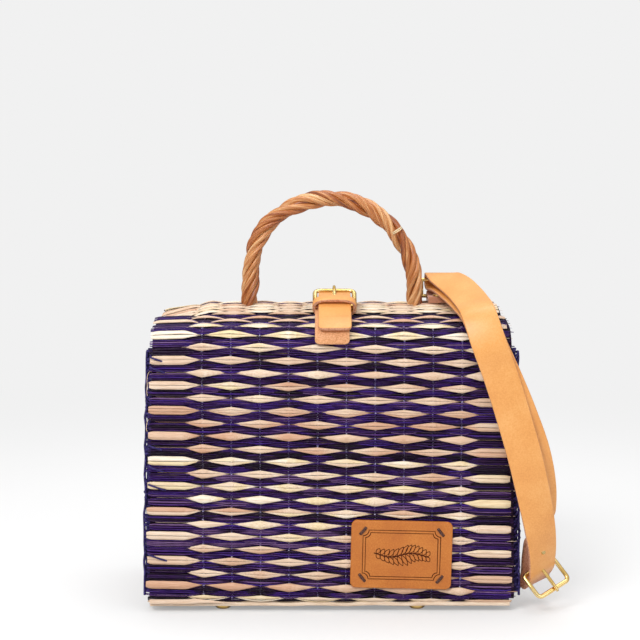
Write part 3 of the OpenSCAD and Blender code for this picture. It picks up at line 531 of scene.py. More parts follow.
def lid_top(y):
    return LID_CENTRE[1] + math.sqrt(LID_R ** 2 - (y - LID_CENTRE[0]) ** 2)


def lid_end(z):
    return LID_W / 2


def half_width(z):
    """Half the basket's width at a height."""
    return BASE_W / 2 - (z - FOOT_H) * (BASE_W - TOP_W) / 2 / (SHOULDER_Z - FOOT_H)


# The weave

rng = np.random.default_rng(7)
PHASE_ENDS = (-1.0, float(WARPS))
END_TAPER = 14.0  # the half wave past the last warps
SHORT_ROW = 4.0  # how much shorter the rows are that pass under at the ends
BLUNT = 4.0  # the length in which a reed's end rounds off


def warp_phase(x):
    """Which warp a place lies at, from 0 to WARPS - 1. Past the last warps a long taper leads to the mat's end."""
    inner = (x + LAST_WARP) / WARP_PITCH
    left = (x + LAST_WARP) / END_TAPER
    right = WARPS - 1 + (x - LAST_WARP) / END_TAPER
    phase = np.where(x < -LAST_WARP, left, np.where(x > LAST_WARP, right, inner))
    return np.clip(phase, *PHASE_ENDS)


def wavering(phase, amount):
    """A value that drifts from warp to warp."""
    return np.interp(phase, np.arange(-1, WARPS + 1), rng.normal(0, amount, WARPS + 2))


# The rows fall a little to the right, by this share of the way across, at the shoulder and at the lower edge.
LEAN_TOP, LEAN_LOW = 0.014, 0.021


def row_lean(s):
    """How much the rows fall towards the right, which begins at the lip and fades out under the base."""
    return np.interp(s, [0, S_FRONT, S_LOW, (S_BASE + S_HEEL) / 2], [0.0, LEAN_TOP, LEAN_LOW, 0.0])


class Reeds:
    """How a kind of reed is woven: strands per bundle, how far it stands out and how wide it spreads."""

    def __init__(self, strands, over, under, spread, pinch, power, rise, flat, fill, mottle=0.12):
        self.strands, self.over, self.under, self.spread, self.pinch = strands, over, under, spread, pinch
        self.power, self.rise, self.flat, self.fill, self.mottle = power, rise, flat, fill, mottle


NATURAL = Reeds(strands=(1, 2, 2, 3), over=1.6, under=-1.6, spread=3.35, pinch=0.25, power=1.2, rise=0.45,
                flat=0.26, fill=1.08)
PURPLE = Reeds(strands=(3, 4, 4, 5), over=0.5, under=-1.9, spread=3.1, pinch=0.7, power=0.8, rise=0.75,
               flat=0.6, fill=0.74, mottle=0.28)


def diamond(over, power):
    """The outline of a bundle, from 1 over a warp to 0 at the next: between a cosine's and a diamond's."""
    away = np.arccos(np.clip(2 * over - 1, -1, 1)) / math.pi
    sharp = np.clip(1.02 - np.sqrt(away ** 2 + 0.0006), 0, 1)
    return (0.85 * sharp + 0.15 * over) ** power


def off_path(x, yz, out, lift):
    """Points that stand out from a path in the YZ plane by lift."""
    return np.stack([x, yz[:, 0] + out[:, 0] * lift, yz[:, 1] + out[:, 1] * lift], 1)


def row_guides(row, mat, kind, samples):
    """The strands of one row of a mat, as guide lines."""
    step, path, end_at, lean, sag = mat
    middle, _ = path(np.array([row * step]))
    end = float(end_at(middle[0][1]))
    over_end = row % 2 == 0
    reach = [end - (0.0 if over_end else SHORT_ROW) - abs(rng.normal(0, 0.8)) for _ in range(2)]
    x = np.linspace(-reach[0], reach[1], samples)
    phase = warp_phase(x)
    over = (1 + np.cos(math.pi * (phase + row + 1))) / 2
    near_end = np.clip((x + reach[0]) / BLUNT, 0, 1) * np.clip((reach[1] - x) / BLUNT, 0, 1)
    spread = (kind.pinch + (kind.spread - kind.pinch) * diamond(over, kind.power)) * (1 + wavering(phase, 0.06))
    spread = spread * (0.72 + 0.28 * near_end ** 0.5)
    height = kind.under + (kind.over - kind.under) * over ** kind.rise + wavering(phase, 0.08)
    height = height - 0.7 * (1 - near_end)
    centre = row * step + wavering(phase, 0.16)
    centre = centre + lean(centre) * (x + LAST_WARP)
    tone = np.clip(rng.uniform(0.15, 0.85) + wavering(phase, 0.2), 0, 1)
    made = []
    strands = int(rng.choice(kind.strands))
    shares = rng.uniform(0.8, 1.2, strands)
    edges = np.concatenate([[0], np.cumsum(shares / shares.sum())]) * 2 - 1
    for k in range(strands):
        offset = (edges[k] + edges[k + 1]) / 2
        width = (edges[k + 1] - edges[k]) * spread * kind.fill
        s = centre + offset * spread + wavering(phase, 0.07) * over
        lift = height - 0.4 * abs(offset) * over + rng.normal(0, 0.1) + wavering(phase, 0.08)
        yz, out = path(s)
        points = off_path(x, yz, out, lift)
        points[:, 2] -= sag(x, yz)
        tilt = 0.5 * offset * over
        facing = np.stack([0 * x, out[:, 0] - out[:, 1] * tilt, out[:, 1] + out[:, 0] * tilt], 1)
        own = np.clip(tone + rng.normal(0, kind.mottle), 0, 1)
        made.append(guide(points, facing, width, own))
    return made


def is_natural(row, lid=False):
    """Every third row is natural, and so is the band along the lid's front."""
    if lid:
        return 0 < row < LID_ROWS and (row >= LID_ROWS - BAND_ROWS or row % 3 == 0)
    return 0 < row < ROWS and row % 3 == 0


# The bag's top left corner has sunk with use: where that begins, and how much each part sinks.
SUNK_FROM = 95.0
MAT_SUNK, LID_SUNK, SIDE_SUNK = 1.6, 10.5, 6.0


def mat_sag(x, yz):
    """How far the top left corner of the mat has sunk."""
    high = np.clip((yz[:, 1] - 170.0) / 45.0, 0, 1) * np.clip((DEPTH - 10 - yz[:, 0]) / 60.0, 0, 1)
    return MAT_SUNK * high * np.clip((-x - SUNK_FROM) / 42.0, 0, 1)


def lid_sag(x, yz):
    """How far the lid's left end has sunk behind the lip."""
    fade = np.clip((DEPTH - 4 - yz[:, 0]) / 60.0, 0.25, 1)
    return LID_SUNK * fade * np.clip((-x - SUNK_FROM) / 40.0, 0, 1)


# Each mat: the step between its rows, the path across them, where a row ends, and how the rows lean and sag.
BASKET_MAT = (ROW_STEP, basket_path, half_width, row_lean, mat_sag)
LID_MAT = (LID_STEP, lid_path, lid_end, lambda s: 0.0, lid_sag)


def weave_region(name, rows, natural, samples, material, replaced, lid=False):
    """Every row of one kind in a stretch of the basket's mat, or in the lid's."""
    kind = NATURAL if natural else PURPLE
    guides = []
    for row in rows:
        if is_natural(row, lid) == natural:
            guides += row_guides(row, LID_MAT if lid else BASKET_MAT, kind, samples)
    sweep(name, guides, 1.0, kind.flat, 6 if natural else 5, material, "lid" if lid else "basket", [replaced])


FRONT_LAST = math.floor((S_LOW + S_BASE) / 2 / ROW_STEP)
BASE_LAST = math.floor((S_HEEL + S_BACK) / 2 / ROW_STEP)
# How far in the inside sheet's outer side lies. Its dark colour is painted shade where it shows between the reeds.
CORE_OUT = -1.9


def mesh_of(name, points, faces, material):
    """A mesh with one material."""
    mesh = bpy.data.meshes.new(name)
    mesh.from_pydata(points, [], faces)
    mesh.materials.append(material)
    mesh.validate()
    return mesh


def slab(name, outer, inner, material, body, replaced=()):
    """A closed slab between two grids of points with the same layout."""
    rows, cols = outer.shape[:2]
    base = rows * cols
    faces = []
    for r in range(rows - 1):
        for c in range(cols - 1):
            a = r * cols + c
            faces.append((a, a + 1, a + cols + 1, a + cols))
            faces.append((base + a, base + a + cols, base + a + cols + 1, base + a + 1))
    rims = [(r * cols + c, (r + 1) * cols + c, c > 0) for r in range(rows - 1) for c in (0, cols - 1)]
    rims += [(r * cols + c, r * cols + c + 1, r == 0) for c in range(cols - 1) for r in (0, rows - 1)]
    for a, b, flip in rims:
        face = (a, b, base + b, base + a)
        faces.append(face[::-1] if flip else face)
    points = place(np.concatenate([outer.reshape(-1, 3), inner.reshape(-1, 3)]))
    finish_piece(name, mesh_of(name, points, faces, material), body, replaced)


def core_sheet(name, rows, mat, material, body, replaced, inset):
    """The inside of a mat: a flat outer side behind the reeds, which shows through their gaps in its dark colours as
    painted shade, and an inner side with the weave's relief.
    """
    step, path, end_at, _, sag = mat
    s = np.linspace(0, rows * step, 2 * rows + 1)
    share = np.linspace(-1, 1, 12 * 3 + 1)
    yz, out = path(s)
    ends = np.array([end_at(z) for z in yz[:, 1]]) - inset
    x = ends[:, None] * share[None, :]
    row = np.round(s / step)
    between = np.abs(s / step - row) > 0.25
    over = np.cos(math.pi * (warp_phase(x) + row[:, None] + 1))
    relief = np.where(between[:, None], -0.55, -0.45 * over)
    sunk = np.stack([sag(x[:, c], yz) for c in range(x.shape[1])], 1)
    outer, inner = (np.stack([x, yz[:, :1] + out[:, :1] * lift, yz[:, 1:] + out[:, 1:] * lift - sunk], 2)
                    for lift in (np.full_like(x, CORE_OUT), -MAT_T + 0.25 + relief * 0.9))
    slab(name, outer, inner, material, body, replaced)


# The strands of the mat's lower edge, front and rear: how far in and how high each lies, and its size.
EDGE_STRANDS = ((2.5, 5.8, 2.4), (-0.2, 8.4, 3.0), (6.0, 5.6, 2.2))


def bottom_edge(label, material):
    """The natural bundle that binds the mat's lower edge, a little slack between the warps and thickest at the
    left."""
    guides = []
    x = np.linspace(-BASE_W / 2 + 3, BASE_W / 2 - 6, 150)
    rear = label == "rear"
    sign = -1 if rear else 1
    for k, (y, z, size) in enumerate(EDGE_STRANDS):
        wave = 0.9 * np.cos(math.pi * warp_phase(x) + 0.6 * k) + wavering(warp_phase(x), 0.7)
        points = np.stack([x, (DEPTH - y if rear else y) - 0.5 * sign * wave, z + 0.6 * wave], 1)
        thin = np.clip((-70 - x) / 40, 0.02, 1) if k == 1 else 1.0
        guides.append(guide(points, (0, -sign, 0.2), size * thin * (1 + 0.12 * wave), rng.uniform(0.3, 0.9)))
    sweep(f"{label}_edge_bundle", guides, 1.25, 0.5, 8, material, "basket")


def warp_lines(material):
    """Warp strings, two at each warp, seen as pale specks where they cross the pinched bundles."""
    guides = []
    s = np.linspace(ROW_STEP, (ROWS - 1) * ROW_STEP, (ROWS - 2) * 2 + 1)
    row = s / ROW_STEP
    for k in range(WARPS):
        x0 = -LAST_WARP + k * WARP_PITCH
        yz, out = basket_path(s + row_lean(s) * (x0 + LAST_WARP))
        lift = -1.0 + 0.85 * np.cos(math.pi * (k + row))
        for side in (-1, 1):
            wave = side * 0.45 * np.cos(math.pi * row + k) + rng.normal(0, 0.12, len(s))
            guides.append(guide(off_path(x0 + wave, yz, out, lift), (1.0, 0, 0),
                                1.0 + rng.normal(0, 0.1, len(s)), rng.uniform(0, 1)))
    sweep("warp_strings", guides, 0.9, 0.9, 3, material, "basket")


# Side panels

SIDE_LOW = FOOT_H + MAT_T + 0.3
SIDE_TOP_R = SHOULDER_R - MAT_T - 0.3
SIDE_LOW_R = BASE_R - MAT_T - 0.3
SIDE_HIGH = FACE_TOP + SIDE_TOP_R - 0.6
SIDE_ROWS = round((SIDE_HIGH - SIDE_LOW) / 4.6)
SIDE_STEP = (SIDE_HIGH - SIDE_LOW) / SIDE_ROWS
SIDE_WARP = 24.0
SIDE_NATURAL = Reeds(strands=(2, 2, 3), over=1.1, under=-1.5, spread=4.6, pinch=0.5, power=0.85, rise=0.45,
                     flat=0.24, fill=1.04)
SIDE_PURPLE = Reeds(strands=(3, 4, 5), over=0.3, under=-1.7, spread=4.4, pinch=0.8, power=0.8, rise=0.75,
                    flat=0.55, fill=0.9)


def side_edge(z):
    """How far in from the front face the side panel begins at a height."""
    if z > FACE_TOP:
        return SHOULDER_R - math.sqrt(max(0, SIDE_TOP_R ** 2 - (z - FACE_TOP) ** 2))
    if z < FOOT_H + BASE_R:
        return BASE_R - math.sqrt(max(0, SIDE_LOW_R ** 2 - (FOOT_H + BASE_R - z) ** 2))
    return MAT_T + 0.3


def side_sag(side, z):
    """The left panel's top has sunk with the lid above it."""
    return (SIDE_SUNK if side < 0 else 0.0) * np.clip((z - 165.0) / 50.0, 0, 1)


def side_reeds(name, side, natural, material, replaced):
    """The rows of one kind on a side panel."""
    kind = SIDE_NATURAL if natural else SIDE_PURPLE
    guides = []
    for row in range(1, SIDE_ROWS):
        if (row % 3 == 1) != natural:
            continue
        z0 = SIDE_LOW + row * SIDE_STEP
        reach = DEPTH / 2 - side_edge(z0) - 0.8
        y = np.linspace(-reach, reach, 40)
        over = (1 + np.cos(math.pi * (y / SIDE_WARP + 1.5 + row))) / 2
        spread = kind.pinch + (kind.spread - kind.pinch) * over ** kind.power
        tone = np.clip(rng.uniform(0.2, 0.8) + np.interp(y, np.linspace(-65, 65, 6), rng.normal(0, 0.15, 6)), 0, 1)
        strands = int(rng.choice(kind.strands))
        for k in range(strands):
            offset = (2 * k + 1) / strands - 1
            z = z0 + offset * spread
            z -= side_sag(side, z)
            lift = kind.under + (kind.over - kind.under) * over ** kind.rise - 0.3 * abs(offset) * over
            x = side * (half_width(z) - SIDE_INSET + lift + rng.normal(0, 0.08))
            points = np.stack([x, y + DEPTH / 2, np.clip(z, SIDE_LOW, SIDE_HIGH)], 1)
            guides.append(guide(points, (side, 0, 0), 2 * spread / strands * kind.fill,
                                np.clip(tone + rng.normal(0, 0.12), 0, 1)))
    sweep(name, guides, 1.0, kind.flat, 6 if natural else 5, material, "basket", [replaced])


def side_core(name, side, material):
    """The side panel behind its reeds, closed and following the panel's outline. Its dark colour shows between the
    reeds as painted shade.
    """
    levels = np.linspace(SIDE_LOW, SIDE_HIGH, 2 * SIDE_ROWS + 1)
    share = np.linspace(-1, 1, 33)
    layers = []
    for lift in (-1.8, -4.0):
        rows = []
        for i, z in enumerate(levels):
            reach = DEPTH / 2 - side_edge(z) - 0.2
            y = share * reach
            relief = 0.0 if lift > -2 else 0.35 * np.cos(math.pi * (y / SIDE_WARP + 1.5 + round(i / 2)))
            x = side * (half_width(z) - SIDE_INSET + lift + relief) + 0 * y
            rows.append(np.stack([x, (y if side > 0 else -y) + DEPTH / 2, np.full_like(y, z - side_sag(side, z))], 1))
        layers.append(np.array(rows))
    slab(name, *layers, material, "basket")


# Corner lacing

LACING_R = 2.9
LACING_IN = 3.65  # how far its middle lies behind the mat's inner face
LACING_TURNS = 46


def corner_lacing(name, side, rear, material, replaced):
    """Cord wound round each upright corner over a straight bundle, in uneven turns, with a loose cord outside."""
    low, high = FOOT_H + BASE_R, FACE_TOP
    y0 = MAT_T + 0.3 + LACING_IN
    y0 = DEPTH - y0 if rear else y0
    t = np.linspace(0, 1, LACING_TURNS * 14)
    turn = t * LACING_TURNS + 0.45 * np.sin(2 * math.pi * 5.3 * t + side) + 0.3 * np.sin(2 * math.pi * 13.7 * t)
    angle = 2 * math.pi * turn

    def by_turn(draw, *spread):
        return np.interp(turn, np.arange(-1, LACING_TURNS + 2), draw(*spread, LACING_TURNS + 3))

    swell = LACING_R + by_turn(rng.normal, 0, 0.5)
    z = low + (high - low) * t + by_turn(rng.normal, 0, 0.9)
    x = side * (half_width(z) - 0.8) + swell * np.cos(angle)
    y = y0 + swell * np.sin(angle)
    z = z + 1.8 * np.sin(angle + side)
    facing = np.stack([np.cos(angle), np.sin(angle), 0 * angle], 1)
    wound = guide(np.stack([x, y, np.clip(z, low, high)], 1), facing, 1.0, by_turn(rng.uniform, 0.1, 0.9))
    loose_z = np.linspace(low - 3, high - 2, 150)
    sway = np.interp(loose_z, np.linspace(low, high, 26), rng.normal(0, 0.8, 26))
    loose = np.stack([side * (half_width(loose_z) + 1.9 + 0.8 * sway), y0 - 2.2 + 2 * sway, loose_z], 1)
    core_z = np.linspace(low, high, 24)
    core = np.stack([side * (half_width(core_z) - 0.8), np.full_like(core_z, y0), core_z], 1)
    guides = [wound, guide(loose, (side, 0, 0), 1.15, 0.3), guide(core, (0, -1, 0), 2.4, 0.3)]
    sweep(name, guides, 1.9, 1.7, 6, material, "basket", [replaced])


# Handle

HANDLE_LINE = [(-64.7, 216.9), (-64.7, 228), (-64.6, 240), (-64.0, 252), (-62.6, 264), (-60.2, 276),
               (-54.8, 287.5), (-46.0, 298), (-34.0, 306), (-20.0, 311.8), (-3.0, 314.2), (12.0, 313),
               (27.0, 307.4), (39.5, 299), (50.5, 288), (58.0, 276), (62.8, 264), (65.4, 252), (66.0, 240),
               (65.2, 228), (64.7, 216.9)]


def smooth_line(points, count):
    """A curve through the points, resampled evenly."""
    points = np.asarray(points, float)
    padded = np.vstack([2 * points[0] - points[1], points, 2 * points[-1] - points[-2]])
    fine = []
    for i in range(len(points) - 1):
        a, b, c, d = padded[i:i + 4]
        t = np.linspace(0, 1, 24, endpoint=False)[:, None]
        fine.append(0.5 * (2 * b + (c - a) * t + (2 * a - 5 * b + 4 * c - d) * t ** 2
                           + (3 * b - a - 3 * c + d) * t ** 3))
    fine = np.vstack(fine + [points[-1:]])
    along = distance_along(fine[:, :3])
    even = np.linspace(0, along[-1], count)
    return np.stack([np.interp(even, along, fine[:, j]) for j in range(fine.shape[1])], 1)


HANDLE_TURNS = 4.2
CANE_OUT = 4.1
ROD_W, ROD_T = 4.6, 5.6


def handle_canes(material):
    """Three canes, each split in two rods, twisted like rope round the handle's arch and one straight core.
    They are thick and thin as grown."""
    count = 260
    line = smooth_line([(x, HANDLE_Y, z) for x, z in HANDLE_LINE], count)
    ahead = directions(line)
    sideways = np.stack([-ahead[:, 2], 0 * ahead[:, 0], ahead[:, 0]], 1)
    t = np.linspace(0, 1, count)
    for k in range(3):
        turn = 2 * math.pi * (k / 3 - HANDLE_TURNS * t) + 0.25 * np.sin(9 * t + 2 * k)
        radius = CANE_OUT + 0.3 * np.sin(13 * t + 2.1 * k)
        thick = 1.0 + 0.06 * np.sin(31 * t + 1.3 * k) + 0.05 * np.sin(67 * t + k)
        tone = 0.1 + 0.32 * k
        guides = [guide(line, (0, 1, 0), 1.25, 0.0)] if k == 0 else []
        for part, shift in enumerate((-0.42, 0.44)):
            angle = turn + shift + 0.1 * np.sin(21 * t + 3 * k + part)
            out = np.cos(angle)[:, None] * sideways + np.sin(angle)[:, None] * np.array([0.0, 1.0, 0.0])
            reach = radius + 0.35 * np.sin(17 * t + 2 * k + 4 * part)
            guides.append(guide(line + reach[:, None] * out, out, thick * (1.0 - 0.12 * part),
                                np.clip(tone + 0.25 * part, 0, 1)))
        sweep(f"twisted_cane_{k + 1}", guides, ROD_W, ROD_T, 12, material, "lid", [f"handle_cane_{k + 1}"])


def handle_knot(material):
    """A thin splint wound twice round one cane, where it is spliced."""
    centre = np.array([50.6, HANDLE_Y - 3.5, 290.0])
    axis = unit([0.5, 0.0, -0.87])
    u = np.array([0.0, 1.0, 0.0])
    angle = np.linspace(0, 4 * math.pi, 60)
    out = np.cos(angle)[:, None] * u + np.sin(angle)[:, None] * np.cross(axis, u)
    points = centre + 4.6 * out + axis * (angle / (2 * math.pi) * 1.2)[:, None]
    sweep("splint_ring", [guide(points, out, 1.0, 0.8)], 1.1, 0.6, 6, material, "lid")


# Leather pieces

def band_line(points, x):
    """The middle line of a band that lies across X at x, from its points in the YZ plane, and its facing."""
    line = smooth_line([(x, y, z) for y, z in points], 12 * len(points))
    return line, np.cross(directions(line), [1.0, 0.0, 0.0])


def around(middle, radius, degrees):
    """Points on a circle in the YZ plane."""
    return [middle + radius * np.array([math.cos(a), math.sin(a)]) for a in np.radians(degrees)]


HEEL = np.array([38.0, RIM_Z + 7.7])
WIRE_R = 1.5
CLOSURE_T = 2.2
CLOSURE_W = 25.0
FRAME_LEN = 20.8
FRAME_TILT = math.radians(30)
FRAME_AHEAD = np.array([0.0, math.cos(FRAME_TILT), math.sin(FRAME_TILT)])
OUTER_BAR = HEEL + FRAME_LEN * FRAME_AHEAD[1:]
LOOP_R = WIRE_R + 0.2 + CLOSURE_T / 2
CHAPE_R = SHOULDER_R + 3.2 + CLOSURE_T / 2
BILLET_R = CHAPE_R + CLOSURE_T + 0.3
BILLET_RISE = 1.7 + 0.4 + CLOSURE_T / 2
KEEPER_TILT = math.radians(20)
# The closure sits a little to the right of the mat's middle, each piece by its own amount.
CHAPE_X, BILLET_X, KEEPER_X, FRAME_X, PRONG_X = 0.2, 2.3, 2.1, 2.4, 2.1


def shoulder_at(radius, degrees):
    """A place over the front shoulder, by its distance from the bend's middle and its angle above level."""
    a = math.radians(degrees)
    return np.array([SHOULDER_R - radius * math.cos(a), FACE_TOP + radius * math.sin(a)])


def strap_piece(name, points, x, width, tone, material, replaced):
    """A closure strap with rounded corners at its free end."""
    line, facing = band_line(points, x)
    left = distance_along(line[::-1])[::-1]
    sweep(name, [guide(line, facing, 1.0, tone, rounded_tip(left, 3.2, width / 2))], width, CLOSURE_T, 3,
          material, "lid", [replaced], BAND)


def closure_straps(material):
    """The lower strap round the buckle's heel bar and down the shoulder, the upper strap from the lid over it,
    and the keeper round both. Their stops are places beside the heel bar and angles on the shoulder."""
    chape = [HEEL + np.array([-8, -LOOP_R + CLOSURE_T + 0.35]), *around(HEEL, LOOP_R, range(105, -76, -30)),
             HEEL + np.array([-9, -LOOP_R - 0.2])]
    chape += [shoulder_at(CHAPE_R, a) for a in (86, 73.6, 61.2, 48.8, 36.4, 24, 12)]
    strap_piece("closure_lower_strap", chape, CHAPE_X, CLOSURE_W + 1, 0.78, material, "closure_chape")
    billet = [np.array([y, lid_top(y) + BILLET_RISE]) for y in (90, 82, 74, 67)]
    billet += [OUTER_BAR - np.array([0, WIRE_R + 0.2 + CLOSURE_T / 2]), (OUTER_BAR + HEEL) / 2 + np.array([0.4, 2.4]),
               HEEL + np.array([0, LOOP_R + CLOSURE_T + 0.35]), HEEL + np.array([-8, 2.35]),
               HEEL + np.array([-13.5, -0.7])]
    billet += [shoulder_at(BILLET_R + extra, a) for extra, a in ((0, 80), (0, 68), (0.2, 57), (0.9, 46.5), (2.4, 36))]
    strap_piece("closure_upper_strap", billet, BILLET_X, CLOSURE_W, 0.5, material, "closure_billet")
    low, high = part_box("closure_keeper")
    middle = np.array([KEEPER_X, (low.y + high.y) / 2 / MM - FRONT_Y / MM, (low.z + high.z) / 2 / MM])
    rise = (high.z - low.z) / 2 / MM - 0.4
    angle = np.linspace(0, 2 * math.pi, 65) - math.pi / 2
    round_x, round_z = (np.abs(v) ** 0.66 * np.sign(v) for v in (np.cos(angle), np.sin(angle)))
    back, up = np.array([[0.0, math.cos(KEEPER_TILT), math.sin(KEEPER_TILT)],
                         [0.0, -math.sin(KEEPER_TILT), math.cos(KEEPER_TILT)]])
    loop = middle + 15.6 * round_x[:, None] * np.array([1.0, 0, 0]) + rise * round_z[:, None] * up
    sweep("keeper_loop", [guide(loop, np.cross(directions(loop), back), 1.0, 0.5)], 8.0, 2.7, 3, material,
          "lid", ["closure_keeper"], BAND)


ANCHOR_X = 88.0
ANCHOR_Y = 84.0
STRAP_T = 2.4
STRAP_W = 26.0
RING_WIRE = 1.5
RING_LEN = 13.0
TAB_RISE = 1.7 + 0.4 + STRAP_T / 2
RING_HEEL = np.array([ANCHOR_Y, lid_top(ANCHOR_Y) + TAB_RISE + STRAP_T / 2 + RING_WIRE + 0.2])
RING_TOP = np.array([ANCHOR_X, RING_HEEL[0], RING_HEEL[1] + RING_LEN])


def beside(p):
    """A place counted from the basket's side, its front face and its shoulder."""
    z = SHOULDER_Z + p[2]
    return np.array([half_width(z) + p[0], p[1], z])


STRAP_WIRE_R = 1.4
STRAP_FRAME_W = 34.0 - 2 * STRAP_WIRE_R
STRAP_FRAME_LEN = 20.0
BUCKLE_MID = beside((17.593, 10.4, -188.6))
BUCKLE_ACROSS = unit([22, 14, 9])
BUCKLE_DOWN = unit(np.cross(BUCKLE_ACROSS, np.cross([0.42, -0.49, -0.76], BUCKLE_ACROSS)))

# The strap's stops, as in the part's source: its middle, and the way its width runs.
BACK_LAYER = [
    ((17.88, 6, -155), (24, 8, 3)), ((18.06, 2.2, -126), (24, 5, 4)), ((12.26, -3.8, -96), (24, 1.5, 6)),
    ((1.96, -6.6, -66), (24, 0, 8)), ((-8.43, -7, -40), (24, 0, 8)), ((-18.87, -6.6, -16), (24, 0, 7)),
    ((-25.93, 3.4, 4.8), (24, 0, 5)), ((-30.76, 26, 11.2), (24, 0, 4))]
ROUND_RING = [
    ((13, -38, -11.2), (24, 0, 3)), ((6, -18, -7.2), (25, 0, 1)), ((1, -4, -6.6), (26, 0, 0)),
    ((0, 3, -4.6), (26, 0, 0)), ((0, 4.4, -1.4), (26, 0, 0)), ((0, 3.9, 2), (26, 0, 0)),
    ((0, 1.6, 4.1), (26, 0, 0)), ((0, -2, 4.3), (26, 0, 0)), ((3, -12, 2.4), (25, 0, 4)),
    ((9, -26, -1.1), (24, 0, 6)), ((14, -40, -5.4), (24, 0, 6))]
FRONT_LAYER = [
    ((-30.64, 26, 16.8), (24, 0, 6)), ((-27.33, 2.4, 10), (24, 0, 6)), ((-21.28, -10.2, -11.2), (24, 0, 9)),
    ((-13.29, -10.6, -34), (24, 0, 9)), ((-5.86, -10.6, -58), (24, 0, 8)), ((3.37, -10.4, -91), (24, 0, 7)),
    ((9.74, -8.8, -118), (24, 2, 6)), ((16.02, -4.9, -149), (23, 8, 5))]
FOLD = [
    ((1.3, -9.2, 17.8), (22, 12, 7)), ((2.1, -3.8, 0.8), (22, 14, 9)), ((2, -0.2, -4.6), (22, 14, 9)),
    ((0.7, 6.2, -10.6), (22, 14, 9)), ((-1, 11.8, -13.7), (21, 15, 8)), ((-3.2, 15.9, -7.9), (17, 19, 5)),
    ((-5.2, 17.2, 5.6), (12, 22, 3)), ((-5.4, 18, 19.6), (9, 24, 0))]


def rounded_tip(along, radius, half_w):
    """The share of its width that a band loses at each distance from a rounded end."""
    near = np.clip(1 - along / radius, 0, 1)
    return (1 - np.sqrt(1 - near ** 2 * 0.998)) * radius / half_w


def shoulder_strap(material):
    """The doubled strap: rounded tip, back layer, loop round the ring, front layer, fold and tail."""
    stops = [(beside(p), a) for p, a in BACK_LAYER] + [(RING_TOP + p, a) for p, a in ROUND_RING]
    stops += [(beside(p), a) for p, a in FRONT_LAYER] + [(BUCKLE_MID + p, a) for p, a in FOLD]
    line = smooth_line([(*p, *unit(a)) for p, a in stops], 640)
    points, across = line[:, :3], line[:, 3:]
    ahead = directions(points)
    across = unit_rows(across - (across * ahead).sum(1)[:, None] * ahead)
    along = distance_along(points)
    left = along[-1] - along
    narrow = rounded_tip(along, STRAP_W / 2, STRAP_W / 2) + rounded_tip(left, 5.0, STRAP_W / 2)
    fleshy = np.clip((52.0 - left) / 8.0, 0, 1)
    sweep("shoulder_strap_leather",
          [guide(points, np.cross(ahead, across), 1.0, 0.5 + 0.5 * fleshy, narrow)], STRAP_W, STRAP_T, 3, material,
          "strap", ["shoulder_strap"], BAND)


def cast_frame(name, width, length, heel, across, ahead, corner, section, body, replaced, material):
    """A buckle's frame, thicker across than through: a rectangle with rounded outer corners, which starts and
    ends at the middle of its heel bar."""
    half = width / 2
    flat = [(0, 0), (half - 1.5, 0), (half, 1.5)]
    for side, start in ((1, 0), (-1, 90)):
        flat += [(side * (half - corner) + corner * math.cos(a), length - corner + corner * math.sin(a))
                 for a in np.radians(np.linspace(start, start + 90, 7))]
    flat = np.array(flat + [(-half, 1.5), (-half + 1.5, 0), (0, 0)])
    loop = np.asarray(heel) + flat[:, :1] * np.asarray(across) + flat[:, 1:] * np.asarray(ahead)
    sweep(name, [guide(loop, np.cross(across, ahead), 1.0, 0.5)], *section, 12, material, body, [replaced])


def cast_prong(name, origin, across, ahead, wire, length, body, replaced, material):
    """A prong: a strip bent round the heel bar, that lies over the frame and tapers past its outer bar."""
    up = np.cross(across, ahead)
    rest = wire + 1.1
    flat = [(rest * math.cos(a), rest * math.sin(a)) for a in np.radians([-50, -90, -130, -170, -210, -250, -270])]
    flat += [(4.0, rest + 0.3), (length - 3.0, rest + 0.3), (length + 1.6, rest + 0.1), (length + 3.2, rest - 0.5)]
    line = smooth_line([tuple(np.asarray(origin) + y * np.asarray(ahead) + z * up) for y, z in flat], 70)
    forward = np.gradient(line, axis=0)
    size = np.interp(np.arange(70), [0, 55, 69], [1.0, 1.0, 0.7])
    sweep(name, [guide(line, np.cross(across, forward), size, 0.5)], 3.0, 2.0, 10, material, body, [replaced])


def buckles(material):
    """Both buckles: their frames and their prongs."""
    low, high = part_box("closure_buckle_frame")
    width = (high.x - low.x) / MM - 2 * WIRE_R
    right = np.array([1.0, 0.0, 0.0])
    cast_frame("closure_frame_cast", width, FRAME_LEN, (FRAME_X, *HEEL), right, FRAME_AHEAD, 4.0, (3.8, 2.9),
               "lid", "closure_buckle_frame", material)
    cast_frame("strap_frame_cast", STRAP_FRAME_W, STRAP_FRAME_LEN, BUCKLE_MID, BUCKLE_ACROSS, BUCKLE_DOWN, 3.5,
               (3.6, 2.8), "strap", "strap_buckle_frame", material)
    cast_prong("closure_prong_cast", (PRONG_X, *HEEL), right, FRAME_AHEAD, WIRE_R, FRAME_LEN,
               "closure_prong_body", "closure_prong", material)
    cast_prong("strap_prong_cast", BUCKLE_MID, -BUCKLE_ACROSS, BUCKLE_DOWN, STRAP_WIRE_R, STRAP_FRAME_LEN,
               "strap_prong_body", "strap_prong", material)


def anchor_leather(material):
    """The tab folded round the strap's ring."""
    path = [np.array([ANCHOR_Y - b, lid_top(ANCHOR_Y - b) + TAB_RISE]) for b in (21, 12)]
    path += around(RING_HEEL, RING_WIRE + 0.2 + STRAP_T / 2, range(-90, 91, 30))
    path += [np.array([ANCHOR_Y - b, lid_top(ANCHOR_Y - b) + TAB_RISE + STRAP_T + 0.2]) for b in (8, 14, 21)]
    line, facing = band_line(path, ANCHOR_X - 4)
    sweep("anchor_leather", [guide(line, facing, 1.0, 0.5)], 15.0, STRAP_T, 3, material, "lid",
          ["anchor_tab"], BAND)


# Patch

PATCH_MID = np.array([52.9, -1.8, 46.0])
PATCH_W, PATCH_H, PATCH_T = 77.0, 52.5, 2.5
PATCH_LEAN = math.radians(-1.3)


